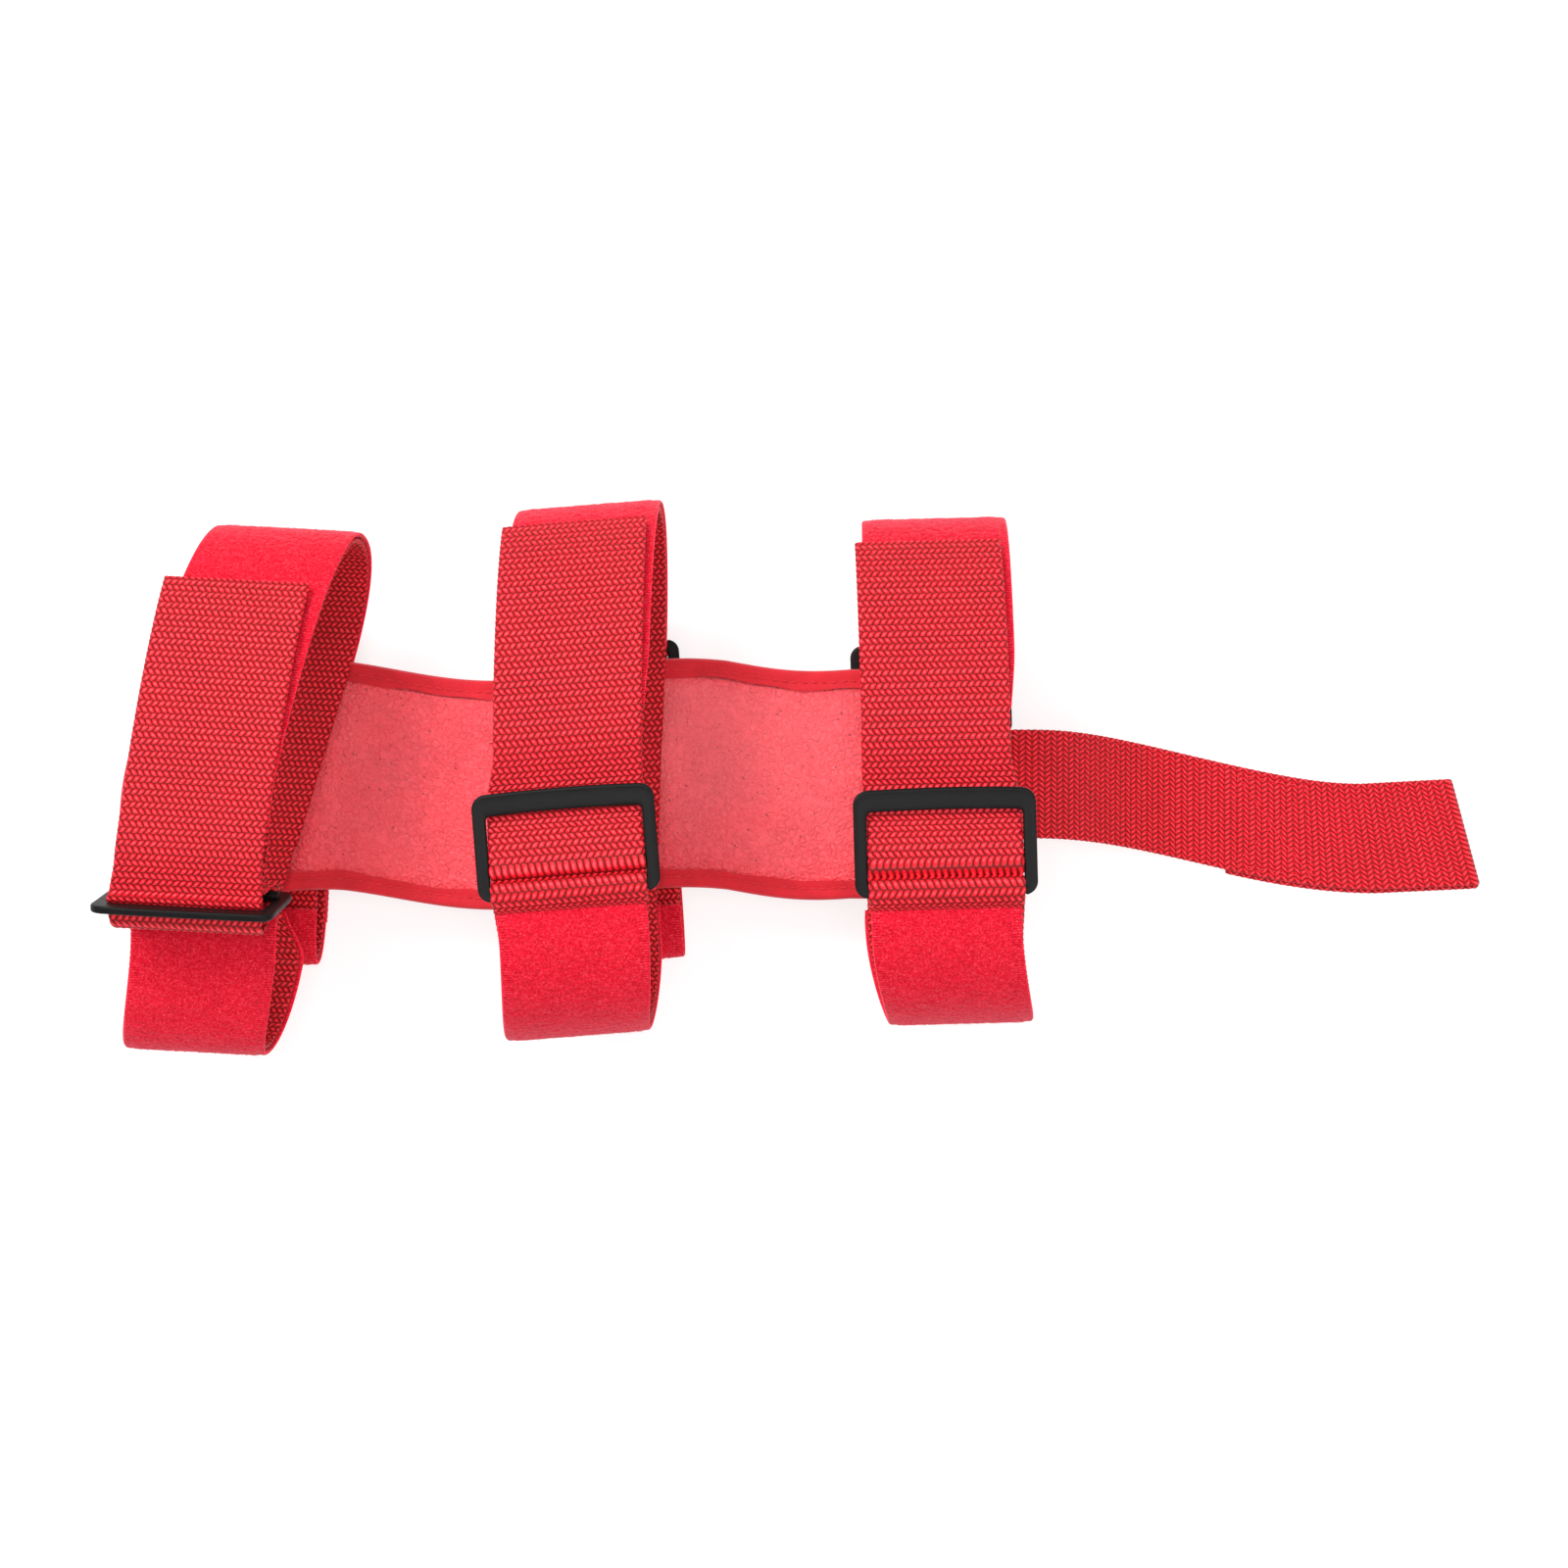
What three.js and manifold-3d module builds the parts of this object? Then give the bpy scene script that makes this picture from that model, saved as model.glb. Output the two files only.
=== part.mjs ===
// Strap-on holder: a bound leatherette panel that lies flat, with three adjustable webbing loops standing
// on its front, three more pressed flat beneath its back, and a pull strap sewn into its right-hand end.
// Millimetres, +X along the panel, +Y across it, +Z up out of its front. The origin is the middle of the
// seat: the inner face of the middle front loop, where it is sewn down on the panel's centre line.
import * as THREE from 'three';
import Module from 'manifold-3d';

const wasm = await Module();
wasm.setup();

// Driving dimensions
const GAP = 0.3;
const PANEL = { left: -162, right: 153, width: 84, face: 1.0, padding: 2.4, lining: 0.8 };
const BINDING = { skin: 1.0, flange: 7 };
const WEB = { width: 49, thick: 2.0 };
const PILE = { width: 49.6, thick: 1.8 };
const HOOK = { width: 46, thick: 1.2 };
const NECK = { width: 40, thick: 1.8, sewnIn: 22, free: 170, doubled: 90 };

// The three-bar slide, measured along its own length from the axis of the lower bar
const SLIDE = {
  width: 60,
  opening: 52,
  thick: 3,
  cornerRadius: 4.5,
  taper: 0.4,
  bow: 0.8,
  topEdge: 33.4,
  topBarWidth: 7.8,
  centreBar: 9.5,
  centreBarDrop: 2.2,
  centreRadius: 1.8,
  lugLength: 5,
  lugHeight: 3.6,
  lowerRadius: 2,
  bottomEdge: -2.6,
};
const BAR_CLEARANCE = { centre: 0.3, lower: 0.5 };

// How the layers of an upper strap lie over one another, outwards from the loop's own webbing
const PILE_LIFT = GAP;
const HOOK_LIFT = PILE_LIFT + PILE.thick + GAP;
const TAIL_LIFT = HOOK_LIFT + HOOK.thick + GAP;

// How far past the top bar's middle the loop and the tail take over from the folded webbing
const STRAP_START = 20;
const LEG_CLEARANCE = 2 * GAP;
// How far short of the loop's end the pile and hook tapes stop
const PILE_SHORT = 9;
const HOOK_SHORT = { slideEnd: 11, freeEnd: 2 };
// Half the length of each loop that is sewn to the panel
const SEWN_HALF = 38;

const REAR_LOOP_HEIGHT = 16;
const FRONT_LOOP_HEIGHT = 80;
const TAB_RISE = 2 * (SLIDE.lowerRadius + BAR_CLEARANCE.lower) + WEB.thick;
const PANEL_STACK = 2 * BINDING.skin + PANEL.face + PANEL.padding + PANEL.lining + 4 * GAP;
const FRONT_Z = -(GAP + WEB.thick);
const BACK_Z = FRONT_Z - PANEL_STACK;
const GROUND_Z = BACK_Z - REAR_LOOP_HEIGHT - TAB_RISE;

// Shape of the bends, as shares of the distances they span
const BEND = { waist: 0.48, foot: 0.35, shoulder: 0.55, crown: 0.6 };
// Control distance, in radii, that makes one cubic turn half a circle
const HALF_TURN = 4 / 3;
const CURVE_STEPS = 9;

// One entry per loop. slide says where the loop's slide lies and how it is turned: x and yaw on the panel,
// lowerBar along the strap, tilt up from flat. loop and tail say how far the sewn-down strap and the free
// tail lie off the slide's own centre line, and how much further they are turned; lowEnd, highEnd and
// reach are how far they go past the panel's middle line, and lean is how far the low bend hangs sideways.
const STRAPS = [
  {
    name: 'front_left',
    side: 1,
    slide: { x: -124.5, yaw: -3, lowerBar: -36.9, tilt: 100 },
    loop: { lowEnd: 93, highEnd: 88, shift: 0.3, turn: -13.7, lean: -6.5 },
    tail: { reach: 66, shift: 3, turn: -4.5 },
  },
  {
    name: 'front_middle',
    side: 1,
    slide: { x: -2, yaw: 4.5, lowerBar: -34.4, tilt: 0 },
    loop: { lowEnd: 85, highEnd: 94, shift: 4.1, turn: -6.3, lean: -4.5 },
    tail: { reach: 83, shift: 1.9, turn: -4.8 },
  },
  {
    name: 'front_right',
    side: 1,
    slide: { x: 123.4, yaw: 1.5, lowerBar: -34.4, tilt: 0 },
    loop: { lowEnd: 81, highEnd: 90, shift: 1.6, turn: -0.9, lean: 6.4 },
    tail: { reach: 78, shift: -2.1, turn: 0 },
  },
  ...[
    { name: 'rear_left', x: -123, yaw: -3 },
    { name: 'rear_middle', x: 5, yaw: 4 },
    { name: 'rear_right', x: 127.3, yaw: 1.7 },
  ].map(({ name, x, yaw }) => ({
    name,
    side: -1,
    slide: { x, yaw, lowerBar: -50, tilt: 0 },
    loop: { lowEnd: 66, highEnd: 64, shift: 0, turn: 0, lean: 0 },
    tail: { reach: 50, shift: 0, turn: 0 },
  })),
];

const material = (color, roughness) =>
  new THREE.MeshStandardMaterial({ color, roughness, metalness: 0 });

const LOOKS = {
  webbing: () => material(0xd8202e, 0.7),
  pile: () => material(0xe0304e, 0.95),
  hook: () => material(0xb01824, 0.85),
  leatherette: () => material(0xf25060, 0.35),
  padding: () => material(0xd9d4cc, 0.95),
  lining: () => material(0xb81c2a, 0.8),
  binding: () => material(0xc41f30, 0.75),
  plastic: () => material(0x1c1b1b, 0.5),
};

const { clamp, degToRad, lerp, smoothstep } = THREE.MathUtils;
const vec = (x, y) => new THREE.Vector2(x, y);

// A closed three.js geometry as a solid that can be cut and joined
function toSolid(geometry) {
  const bare = geometry.index ? geometry.toNonIndexed() : geometry.clone();
  const position = bare.getAttribute('position');
  const perMillimetre = 1e5;
  const keys = new Map();
  const vertices = [];
  const triangles = [];
  for (let i = 0; i < position.count; i += 1) {
    const corner = [position.getX(i), position.getY(i), position.getZ(i)];
    const key = corner.map((value) => Math.round(value * perMillimetre)).join(',');
    if (!keys.has(key)) {
      keys.set(key, keys.size);
      vertices.push(...corner);
    }
    triangles.push(keys.get(key));
  }
  return new wasm.Manifold(
    new wasm.Mesh({
      numProp: 3,
      vertProperties: new Float32Array(vertices),
      triVerts: new Uint32Array(triangles),
    }),
  );
}

function toGeometry(solid) {
  const mesh = solid.getMesh();
  const geometry = new THREE.BufferGeometry();
  geometry.setAttribute('position', new THREE.BufferAttribute(new Float32Array(mesh.vertProperties), 3));
  geometry.setIndex(new THREE.BufferAttribute(new Uint32Array(mesh.triVerts), 1));
  geometry.computeVertexNormals();
  return geometry;
}

function named(name, geometry, look) {
  const mesh = new THREE.Mesh(geometry, LOOKS[look]());
  mesh.name = name;
  return mesh;
}

function box(x, y, z, sizeX, sizeY, sizeZ) {
  const geometry = new THREE.BoxGeometry(sizeX, sizeY, sizeZ);
  geometry.translate(x, y, z);
  return geometry;
}

// A line seen edge-on, made of straight runs (two points) and cubic bends (four points)
function linePath(pieces) {
  const path = new THREE.CurvePath();
  pieces.forEach((piece) => {
    path.add(piece.length === 2 ? new THREE.LineCurve(...piece) : new THREE.CubicBezierCurve(...piece));
  });
  return path.getPoints(CURVE_STEPS);
}

// A bend that leaves and arrives level, its two control points this far from its ends
const levelBend = (from, to, leaving, arriving) => [
  from,
  vec(from.x + leaving, from.y),
  vec(to.x - arriving, to.y),
  to,
];

// Half a turn from above a bar to below it, or back, bulging towards +X or -X
const halfTurn = (bar, from, to, bulge) => [
  vec(bar.x, from),
  vec(bar.x + bulge * HALF_TURN, from),
  vec(bar.x + bulge * HALF_TURN, to),
  vec(bar.x, to),
];

// The part of a line between two distances along it, with no point crowding either cut end
function stretch(points, from, to) {
  const crowding = GAP;
  const cut = [];
  let travelled = 0;
  for (let i = 1; i < points.length; i += 1) {
    const step = points[i].distanceTo(points[i - 1]);
    const last = i === points.length - 1;
    const begun = travelled;
    const reached = travelled + step;
    const at = (distance) => points[i - 1].clone().lerp(points[i], (distance - begun) / step);
    const inStep = (distance) => distance >= begun && (distance < reached || last);
    if (inStep(from)) {
      cut.push(at(from));
    }
    if (reached > from + crowding && reached < to - crowding) {
      cut.push(points[i]);
    }
    if (inStep(to)) {
      cut.push(at(to));
    }
    travelled = reached;
  }
  return cut;
}

const lengthOf = (points) =>
  points.slice(1).reduce((sum, point, i) => sum + point.distanceTo(points[i]), 0);

// How far along a line it first gets further than `reach` from the panel's middle line
function distanceToClear(points, reach) {
  const first = points.findIndex((point) => Math.abs(point.x) > reach);
  const [inside, outside] = [points[first - 1], points[first]];
  const share = (reach - Math.abs(inside.x)) / (Math.abs(outside.x) - Math.abs(inside.x));
  return lengthOf(points.slice(0, first)) + share * inside.distanceTo(outside);
}

// The same line moved sideways, to the right of its direction of travel
function offset(points, distance) {
  const sharpest = 0.5;
  return points.map((point, i) => {
    const before = points[Math.max(i - 1, 0)];
    const after = points[Math.min(i + 1, points.length - 1)];
    const incoming = i > 0 ? point.clone().sub(before).normalize() : after.clone().sub(point).normalize();
    const outgoing = i < points.length - 1 ? after.clone().sub(point).normalize() : incoming;
    const middle = incoming.clone().add(outgoing).normalize();
    const reach = distance / Math.max(middle.dot(incoming), sharpest);
    return vec(point.x + middle.y * reach, point.y - middle.x * reach);
  });
}

// A band of constant thickness along a line in the (Y, Z) plane, as wide as the strap along X, every
// point of it moved along X by sideways(y, z)
function band(points, low, high, width, sideways) {
  const outline = [...offset(points, low), ...offset(points, high).reverse()];
  const geometry = new THREE.ExtrudeGeometry(new THREE.Shape(outline), {
    depth: width,
    bevelEnabled: false,
  });
  geometry.translate(0, 0, -width / 2);
  geometry.applyMatrix4(
    new THREE.Matrix4().makeBasis(
      new THREE.Vector3(0, 1, 0),
      new THREE.Vector3(0, 0, 1),
      new THREE.Vector3(1, 0, 0),
    ),
  );
  const position = geometry.getAttribute('position');
  for (let i = 0; i < position.count; i += 1) {
    position.setX(i, position.getX(i) + sideways(position.getY(i), position.getZ(i)));
  }
  return geometry;
}

// Everything about one loop's side view that its pieces share, in the plane along the strap and out of
// the panel
function loopLayout(strap) {
  const height = strap.side > 0 ? FRONT_LOOP_HEIGHT : REAR_LOOP_HEIGHT;
  const turn = degToRad(strap.slide.tilt);
  const upright = strap.slide.tilt > 45;
  const along = vec(Math.cos(turn), Math.sin(turn));
  const front = vec(-Math.sin(turn), Math.cos(turn));
  const topBarMiddle = SLIDE.topEdge - SLIDE.topBarWidth / 2;
  const lowerHold = SLIDE.lowerRadius + BAR_CLEARANCE.lower;
  const drop = upright ? topBarMiddle * along.y : 0;
  const lowerBar = vec(strap.slide.lowerBar, height + lowerHold - drop);
  const alongSlide = (distance, out = 0) =>
    lowerBar.clone().addScaledVector(along, distance).addScaledVector(front, out);
  const topBar = alongSlide(topBarMiddle);
  // the loop's own webbing and the tail both pass under the top bar
  const topBarHalf = (upright ? SLIDE.topBarWidth : SLIDE.thick) / 2;
  return {
    upright,
    alongSlide,
    lowerBar,
    lowerHold,
    topBar,
    centreBar: alongSlide(SLIDE.centreBar, -SLIDE.centreBarDrop),
    upperLevel: topBar.y - topBarHalf - GAP - WEB.thick - GAP,
    strapStart: topBar.x + STRAP_START,
  };
}

// How far the tail lies off the slide's centre line: nothing at the top bar, its own line beyond it
function tailDrift(strap, layout) {
  const fade = { before: 8, after: 16 };
  const { shift, turn } = strap.tail;
  return (y) => {
    const share = smoothstep(y, layout.topBar.x - fade.before, layout.topBar.x + fade.after);
    return share * (shift - y * Math.tan(degToRad(turn)));
  };
}

// How far the loop lies off the slide's centre line: on its sewn line at the panel, twisting up to the
// tail's line at the top and back to the slide's own as soon as the low end leaves the panel
function loopDrift(strap, layout) {
  const topTwist = { share: 0.5, run: 30 };
  const lowTwistRun = 26;
  const { shift, turn, lean } = strap.loop;
  const { lowerBar, lowerHold, strapStart, upperLevel } = layout;
  const tail = tailDrift(strap, layout);
  return (y, z) => {
    const sewn = shift - y * Math.tan(degToRad(turn));
    if (y < strapStart) {
      const share = clamp(1 - z / (lowerBar.y - lowerHold), 0, 1);
      const straight = smoothstep(y, -SEWN_HALF - lowTwistRun, -SEWN_HALF);
      return share * straight * sewn + 4 * share * (1 - share) * lean;
    }
    const atTop = topTwist.share * smoothstep(y, strapStart, strapStart + topTwist.run);
    const share = lerp(1, atTop, clamp(z / upperLevel, 0, 1));
    return lerp(tail(y), sewn, share);
  };
}

// The lower half of a loop: tab over the lower bar, hairpin round it, out round the low end, to the panel
function lowerLine(strap, layout) {
  const { lowerBar, lowerHold } = layout;
  const tab = { length: 6.4, lift: 0.7, leaving: 2.8, arriving: 3.4 };
  const { lowEnd } = strap.loop;
  const under = lowerBar.y - lowerHold;
  const over = lowerBar.y + lowerHold;
  const tabEnd = vec(lowerBar.x - tab.length, under + tab.lift);
  const shoulder = vec(lowerBar.x - tab.length, under);
  const waist = vec(-lowEnd, under * BEND.waist);
  return {
    tab: linePath([
      levelBend(tabEnd, vec(lowerBar.x, over), tab.leaving, tab.arriving),
      halfTurn(lowerBar, over, under, lowerHold),
      [vec(lowerBar.x, under), shoulder],
    ]),
    bend: linePath([
      [
        shoulder,
        vec(lerp(shoulder.x, waist.x, BEND.crown), under),
        vec(waist.x, lerp(waist.y, under, BEND.shoulder)),
        waist,
      ],
      [
        waist,
        vec(waist.x, waist.y * BEND.foot),
        vec(-lerp(SEWN_HALF, lowEnd, BEND.shoulder), GAP),
        vec(-SEWN_HALF, GAP),
      ],
    ]),
  };
}

// The upper half of a loop: off the panel, round the high end and back along the top to the slide. A
// front loop runs level to its slide; a rear one is flat where it meets the ground, then dips
function upperLine(strap, layout) {
  const { upperLevel, strapStart } = layout;
  const { highEnd } = strap.loop;
  const rear = { flatFrom: 46, dip: 10, levelRun: 1.5 };
  const crest = strap.side > 0 ? upperLevel : BACK_Z - GROUND_Z - TAIL_LIFT - WEB.thick;
  const crestEnd = strap.side > 0 ? strapStart : rear.flatFrom;
  const waist = vec(highEnd, crest * BEND.waist);
  const line = [
    [
      vec(SEWN_HALF, GAP),
      vec(lerp(SEWN_HALF, highEnd, BEND.shoulder), GAP),
      vec(waist.x, waist.y * BEND.foot),
      waist,
    ],
    [
      waist,
      vec(waist.x, lerp(waist.y, crest, BEND.shoulder)),
      vec(lerp(crestEnd, highEnd, BEND.crown), crest),
      vec(crestEnd, crest),
    ],
  ];
  if (strap.side < 0) {
    const dipStart = vec(strapStart + rear.dip, crest);
    const dipEnd = vec(strapStart + rear.levelRun, upperLevel);
    const third = (dipEnd.x - dipStart.x) / 3;
    line.push(
      [vec(crestEnd, crest), dipStart],
      levelBend(dipStart, dipEnd, third, third),
      [dipEnd, vec(strapStart, upperLevel)],
    );
  }
  return linePath(line);
}

// The hairpin of webbing round the centre bar, with one leg under the tail and one under the loop's end
function foldLine(layout) {
  const { centreBar, upperLevel, strapStart, topBar, upright, alongSlide } = layout;
  const hold = SLIDE.centreRadius + BAR_CLEARANCE.centre;
  const legEnd = strapStart - LEG_CLEARANCE;
  const tailStart = vec(legEnd, upperLevel + TAIL_LIFT);
  const loopStart = vec(legEnd, upperLevel);
  const dipLevel = upperLevel + GAP;
  if (upright) {
    // the tail's leg comes over the panel side of the bar and down its outside, and the loop's goes back up
    const over = vec(topBar.x + 2, dipLevel);
    const inner = vec(centreBar.x + hold, centreBar.y);
    const outer = vec(centreBar.x - hold, centreBar.y);
    const joined = vec(topBar.x + 9, upperLevel);
    const swing = { leg: 4, outside: 10.5, down: 7, sideways: 8, up: 4, back: 5 };
    return linePath([
      levelBend(tailStart, over, -swing.leg, -swing.leg),
      [
        over,
        vec(topBar.x - swing.outside, dipLevel - 1),
        vec(outer.x - swing.sideways, dipLevel - swing.down),
        outer,
      ],
      [
        outer,
        vec(outer.x, outer.y - hold * HALF_TURN),
        vec(inner.x, inner.y - hold * HALF_TURN),
        inner,
      ],
      [inner, vec(inner.x, inner.y + swing.up), vec(joined.x - swing.back, joined.y), joined],
      [joined, loopStart],
    ]);
  }
  const barStart = vec(alongSlide(SLIDE.topEdge).x + 0.5, dipLevel);
  const barEnd = vec(alongSlide(SLIDE.topEdge - SLIDE.topBarWidth).x - 1, dipLevel);
  const drop = { leg: 3, leaving: 5, arriving: 7 };
  const over = vec(centreBar.x, centreBar.y + hold);
  const joined = vec(barEnd.x, upperLevel);
  return linePath([
    levelBend(tailStart, barStart, -drop.leg, -drop.leg),
    [barStart, barEnd],
    levelBend(barEnd, over, -drop.leaving, -drop.arriving),
    halfTurn(centreBar, over.y, centreBar.y - hold, -hold),
    [vec(centreBar.x, centreBar.y - hold), joined],
    [joined, loopStart],
  ]);
}

// The slide's rounded frame, bowed a little along its top bar, with a round centre bar and lower bar
function slideGeometry(layout, strap) {
  const { cornerRadius: radius, bow, taper, topEdge, bottomEdge, thick } = SLIDE;
  const half = SLIDE.width / 2;
  const topHalf = half - taper;
  const frame = new THREE.Shape();
  frame.moveTo(-half, bottomEdge + radius);
  frame.lineTo(-topHalf, topEdge - radius - bow);
  frame.quadraticCurveTo(-topHalf, topEdge - bow, -half + radius, topEdge - bow);
  frame.quadraticCurveTo(0, topEdge + bow, half - radius, topEdge - bow);
  frame.quadraticCurveTo(topHalf, topEdge - bow, topHalf, topEdge - radius - bow);
  frame.lineTo(half, bottomEdge + radius);
  frame.quadraticCurveTo(half, bottomEdge, half - radius, bottomEdge);
  frame.lineTo(radius - half, bottomEdge);
  frame.quadraticCurveTo(-half, bottomEdge, -half, bottomEdge + radius);
  const plate = new THREE.ExtrudeGeometry(frame, { depth: thick, bevelEnabled: false, curveSegments: 4 });
  plate.translate(0, 0, -thick / 2);
  const openTop = topEdge - SLIDE.topBarWidth;
  const openBottom = bottomEdge - 1;
  const opening = box(0, (openTop + openBottom) / 2, 0, SLIDE.opening, openTop - openBottom, thick * 2);
  const bar = (barRadius, distance, drop) => {
    const sides = 14;
    const rod = new THREE.CylinderGeometry(barRadius, barRadius, SLIDE.opening + 2, sides);
    rod.rotateZ(Math.PI / 2);
    rod.translate(0, distance, -drop);
    return toSolid(rod);
  };
  const { centreBar, centreBarDrop, lugLength, lugHeight } = SLIDE;
  let solid = toSolid(plate).subtract(toSolid(opening));
  solid = solid.add(bar(SLIDE.centreRadius, centreBar, centreBarDrop));
  solid = solid.add(bar(SLIDE.lowerRadius, 0, 0));
  const lugWidth = (SLIDE.width - SLIDE.opening) / 2 - 2 * taper;
  [-1, 1].forEach((end) => {
    const x = end * (SLIDE.opening / 2 + lugWidth / 2);
    solid = solid.add(toSolid(box(x, centreBar, -centreBarDrop, lugWidth, lugLength, lugHeight)));
  });
  const geometry = toGeometry(solid);
  geometry.rotateX(degToRad(strap.slide.tilt));
  geometry.translate(0, layout.lowerBar.x, layout.lowerBar.y);
  return geometry;
}

// How far along the strap its full width has cleared the panel's long edge
function clearOfPanel(strap) {
  const turn = degToRad(strap.slide.yaw);
  const slant = Math.abs(Math.tan(degToRad(strap.loop.turn)));
  const sideways = Math.abs(strap.loop.shift) + (PANEL.width / 2) * slant;
  const corner = (PILE.width / 2 + sideways) * Math.abs(Math.sin(turn));
  return (PANEL.width / 2 + corner) / Math.cos(turn) + 3 * GAP;
}

// One complete loop with its tapes, slide and free tail, placed on its side of the panel
function strapGroup(strap) {
  const layout = loopLayout(strap);
  const lower = lowerLine(strap, layout);
  const upper = upperLine(strap, layout);
  const upperLength = lengthOf(upper);
  const bendLength = lengthOf(lower.bend);
  const clear = clearOfPanel(strap);
  const wholeLoop = [...lower.tab, ...lower.bend.slice(1), ...upper];
  const pileTop = stretch(upper, distanceToClear(upper, clear), upperLength - PILE_SHORT);
  const pileEnd = bendLength - distanceToClear([...lower.bend].reverse(), clear);
  const pileLow = stretch(lower.bend, 2 * GAP, pileEnd);
  const tailFrom = upperLength - distanceToClear([...upper].reverse(), strap.tail.reach);
  const tail = stretch(upper, tailFrom, upperLength);
  const tailHook = stretch(upper, tailFrom + HOOK_SHORT.freeEnd, upperLength - HOOK_SHORT.slideEnd);
  const onLoop = loopDrift(strap, layout);
  const onTail = tailDrift(strap, layout);
  const tape = (points, lift, size, drift) => band(points, lift, lift + size.thick, size.width, drift);
  const label = (piece) => `${strap.name}_${piece}`;
  const group = new THREE.Group();
  group.name = strap.name;
  group.add(
    named(label('loop_webbing'), tape(wholeLoop, -WEB.thick, WEB, onLoop), 'webbing'),
    named(label('pile_upper'), tape(pileTop, PILE_LIFT, PILE, onLoop), 'pile'),
    named(label('pile_lower'), tape(pileLow, PILE_LIFT, PILE, onLoop), 'pile'),
    named(label('slide'), slideGeometry(layout, strap), 'plastic'),
    named(label('fold_webbing'), tape(foldLine(layout), 0, WEB, onTail), 'webbing'),
    named(label('tail_webbing'), tape(tail, TAIL_LIFT, WEB, onTail), 'webbing'),
    named(label('tail_hook'), tape(tailHook, HOOK_LIFT, HOOK, onTail), 'hook'),
  );
  group.position.set(strap.slide.x, 0, strap.side > 0 ? FRONT_Z : BACK_Z);
  group.rotation.set(strap.side > 0 ? 0 : Math.PI, 0, degToRad(strap.slide.yaw), 'ZYX');
  return group;
}

// The panel: face sheet, padding and lining held by one binding that wraps all four edges
function panelGroup(paddingZ) {
  const length = PANEL.right - PANEL.left;
  const middleX = (PANEL.left + PANEL.right) / 2;
  const middleZ = (BACK_Z + FRONT_Z) / 2;
  const inset = BINDING.skin + GAP;
  const layer = (lowZ, thick) =>
    box(middleX, 0, lowZ + thick / 2, length - 2 * inset, PANEL.width - 2 * inset, thick);
  const block = (shrink, height) =>
    toSolid(box(middleX, 0, middleZ, length - 2 * shrink, PANEL.width - 2 * shrink, height));

  const right = PANEL.right - inset;
  const top = PANEL.width / 2 - inset;
  const notch = { left: PANEL.right - NECK.sewnIn - inset - GAP, top: NECK.width / 2 + GAP };
  const pad = new THREE.Shape([
    vec(PANEL.left + inset, -top),
    vec(right, -top),
    vec(right, -notch.top),
    vec(notch.left, -notch.top),
    vec(notch.left, notch.top),
    vec(right, notch.top),
    vec(right, top),
    vec(PANEL.left + inset, top),
  ]);
  const padding = new THREE.ExtrudeGeometry(pad, { depth: PANEL.padding, bevelEnabled: false });
  padding.translate(0, 0, paddingZ);

  const wrap = block(0, PANEL_STACK);
  const stack = block(BINDING.skin, PANEL_STACK - 2 * BINDING.skin);
  const view = block(BINDING.flange, PANEL_STACK * 2);
  const mouthZ = paddingZ + PANEL.padding / 2;
  const mouth = toSolid(
    box(PANEL.right, 0, mouthZ, 2 * BINDING.flange, NECK.width + 2 * GAP, PANEL.padding),
  );
  const binding = wrap.subtract(stack).subtract(view).subtract(mouth);
  const group = new THREE.Group();
  group.name = 'panel';
  group.add(
    named('panel_lining', layer(BACK_Z + inset, PANEL.lining), 'lining'),
    named('panel_padding', padding, 'padding'),
    named('panel_face', layer(paddingZ + PANEL.padding + GAP, PANEL.face), 'leatherette'),
    named('edge_binding', toGeometry(binding), 'binding'),
  );
  return group;
}

// How far the pull strap has wandered towards -Y at a given place along it
function neckSway(x) {
  const sway = { start: 10, span: 128, depth: 19.8, recovery: 0.05 };
  const start = PANEL.right + sway.start;
  const settled = start + sway.span;
  return sway.recovery * Math.max(x - settled, 0) - sway.depth * smoothstep(x, start, settled);
}

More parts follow.
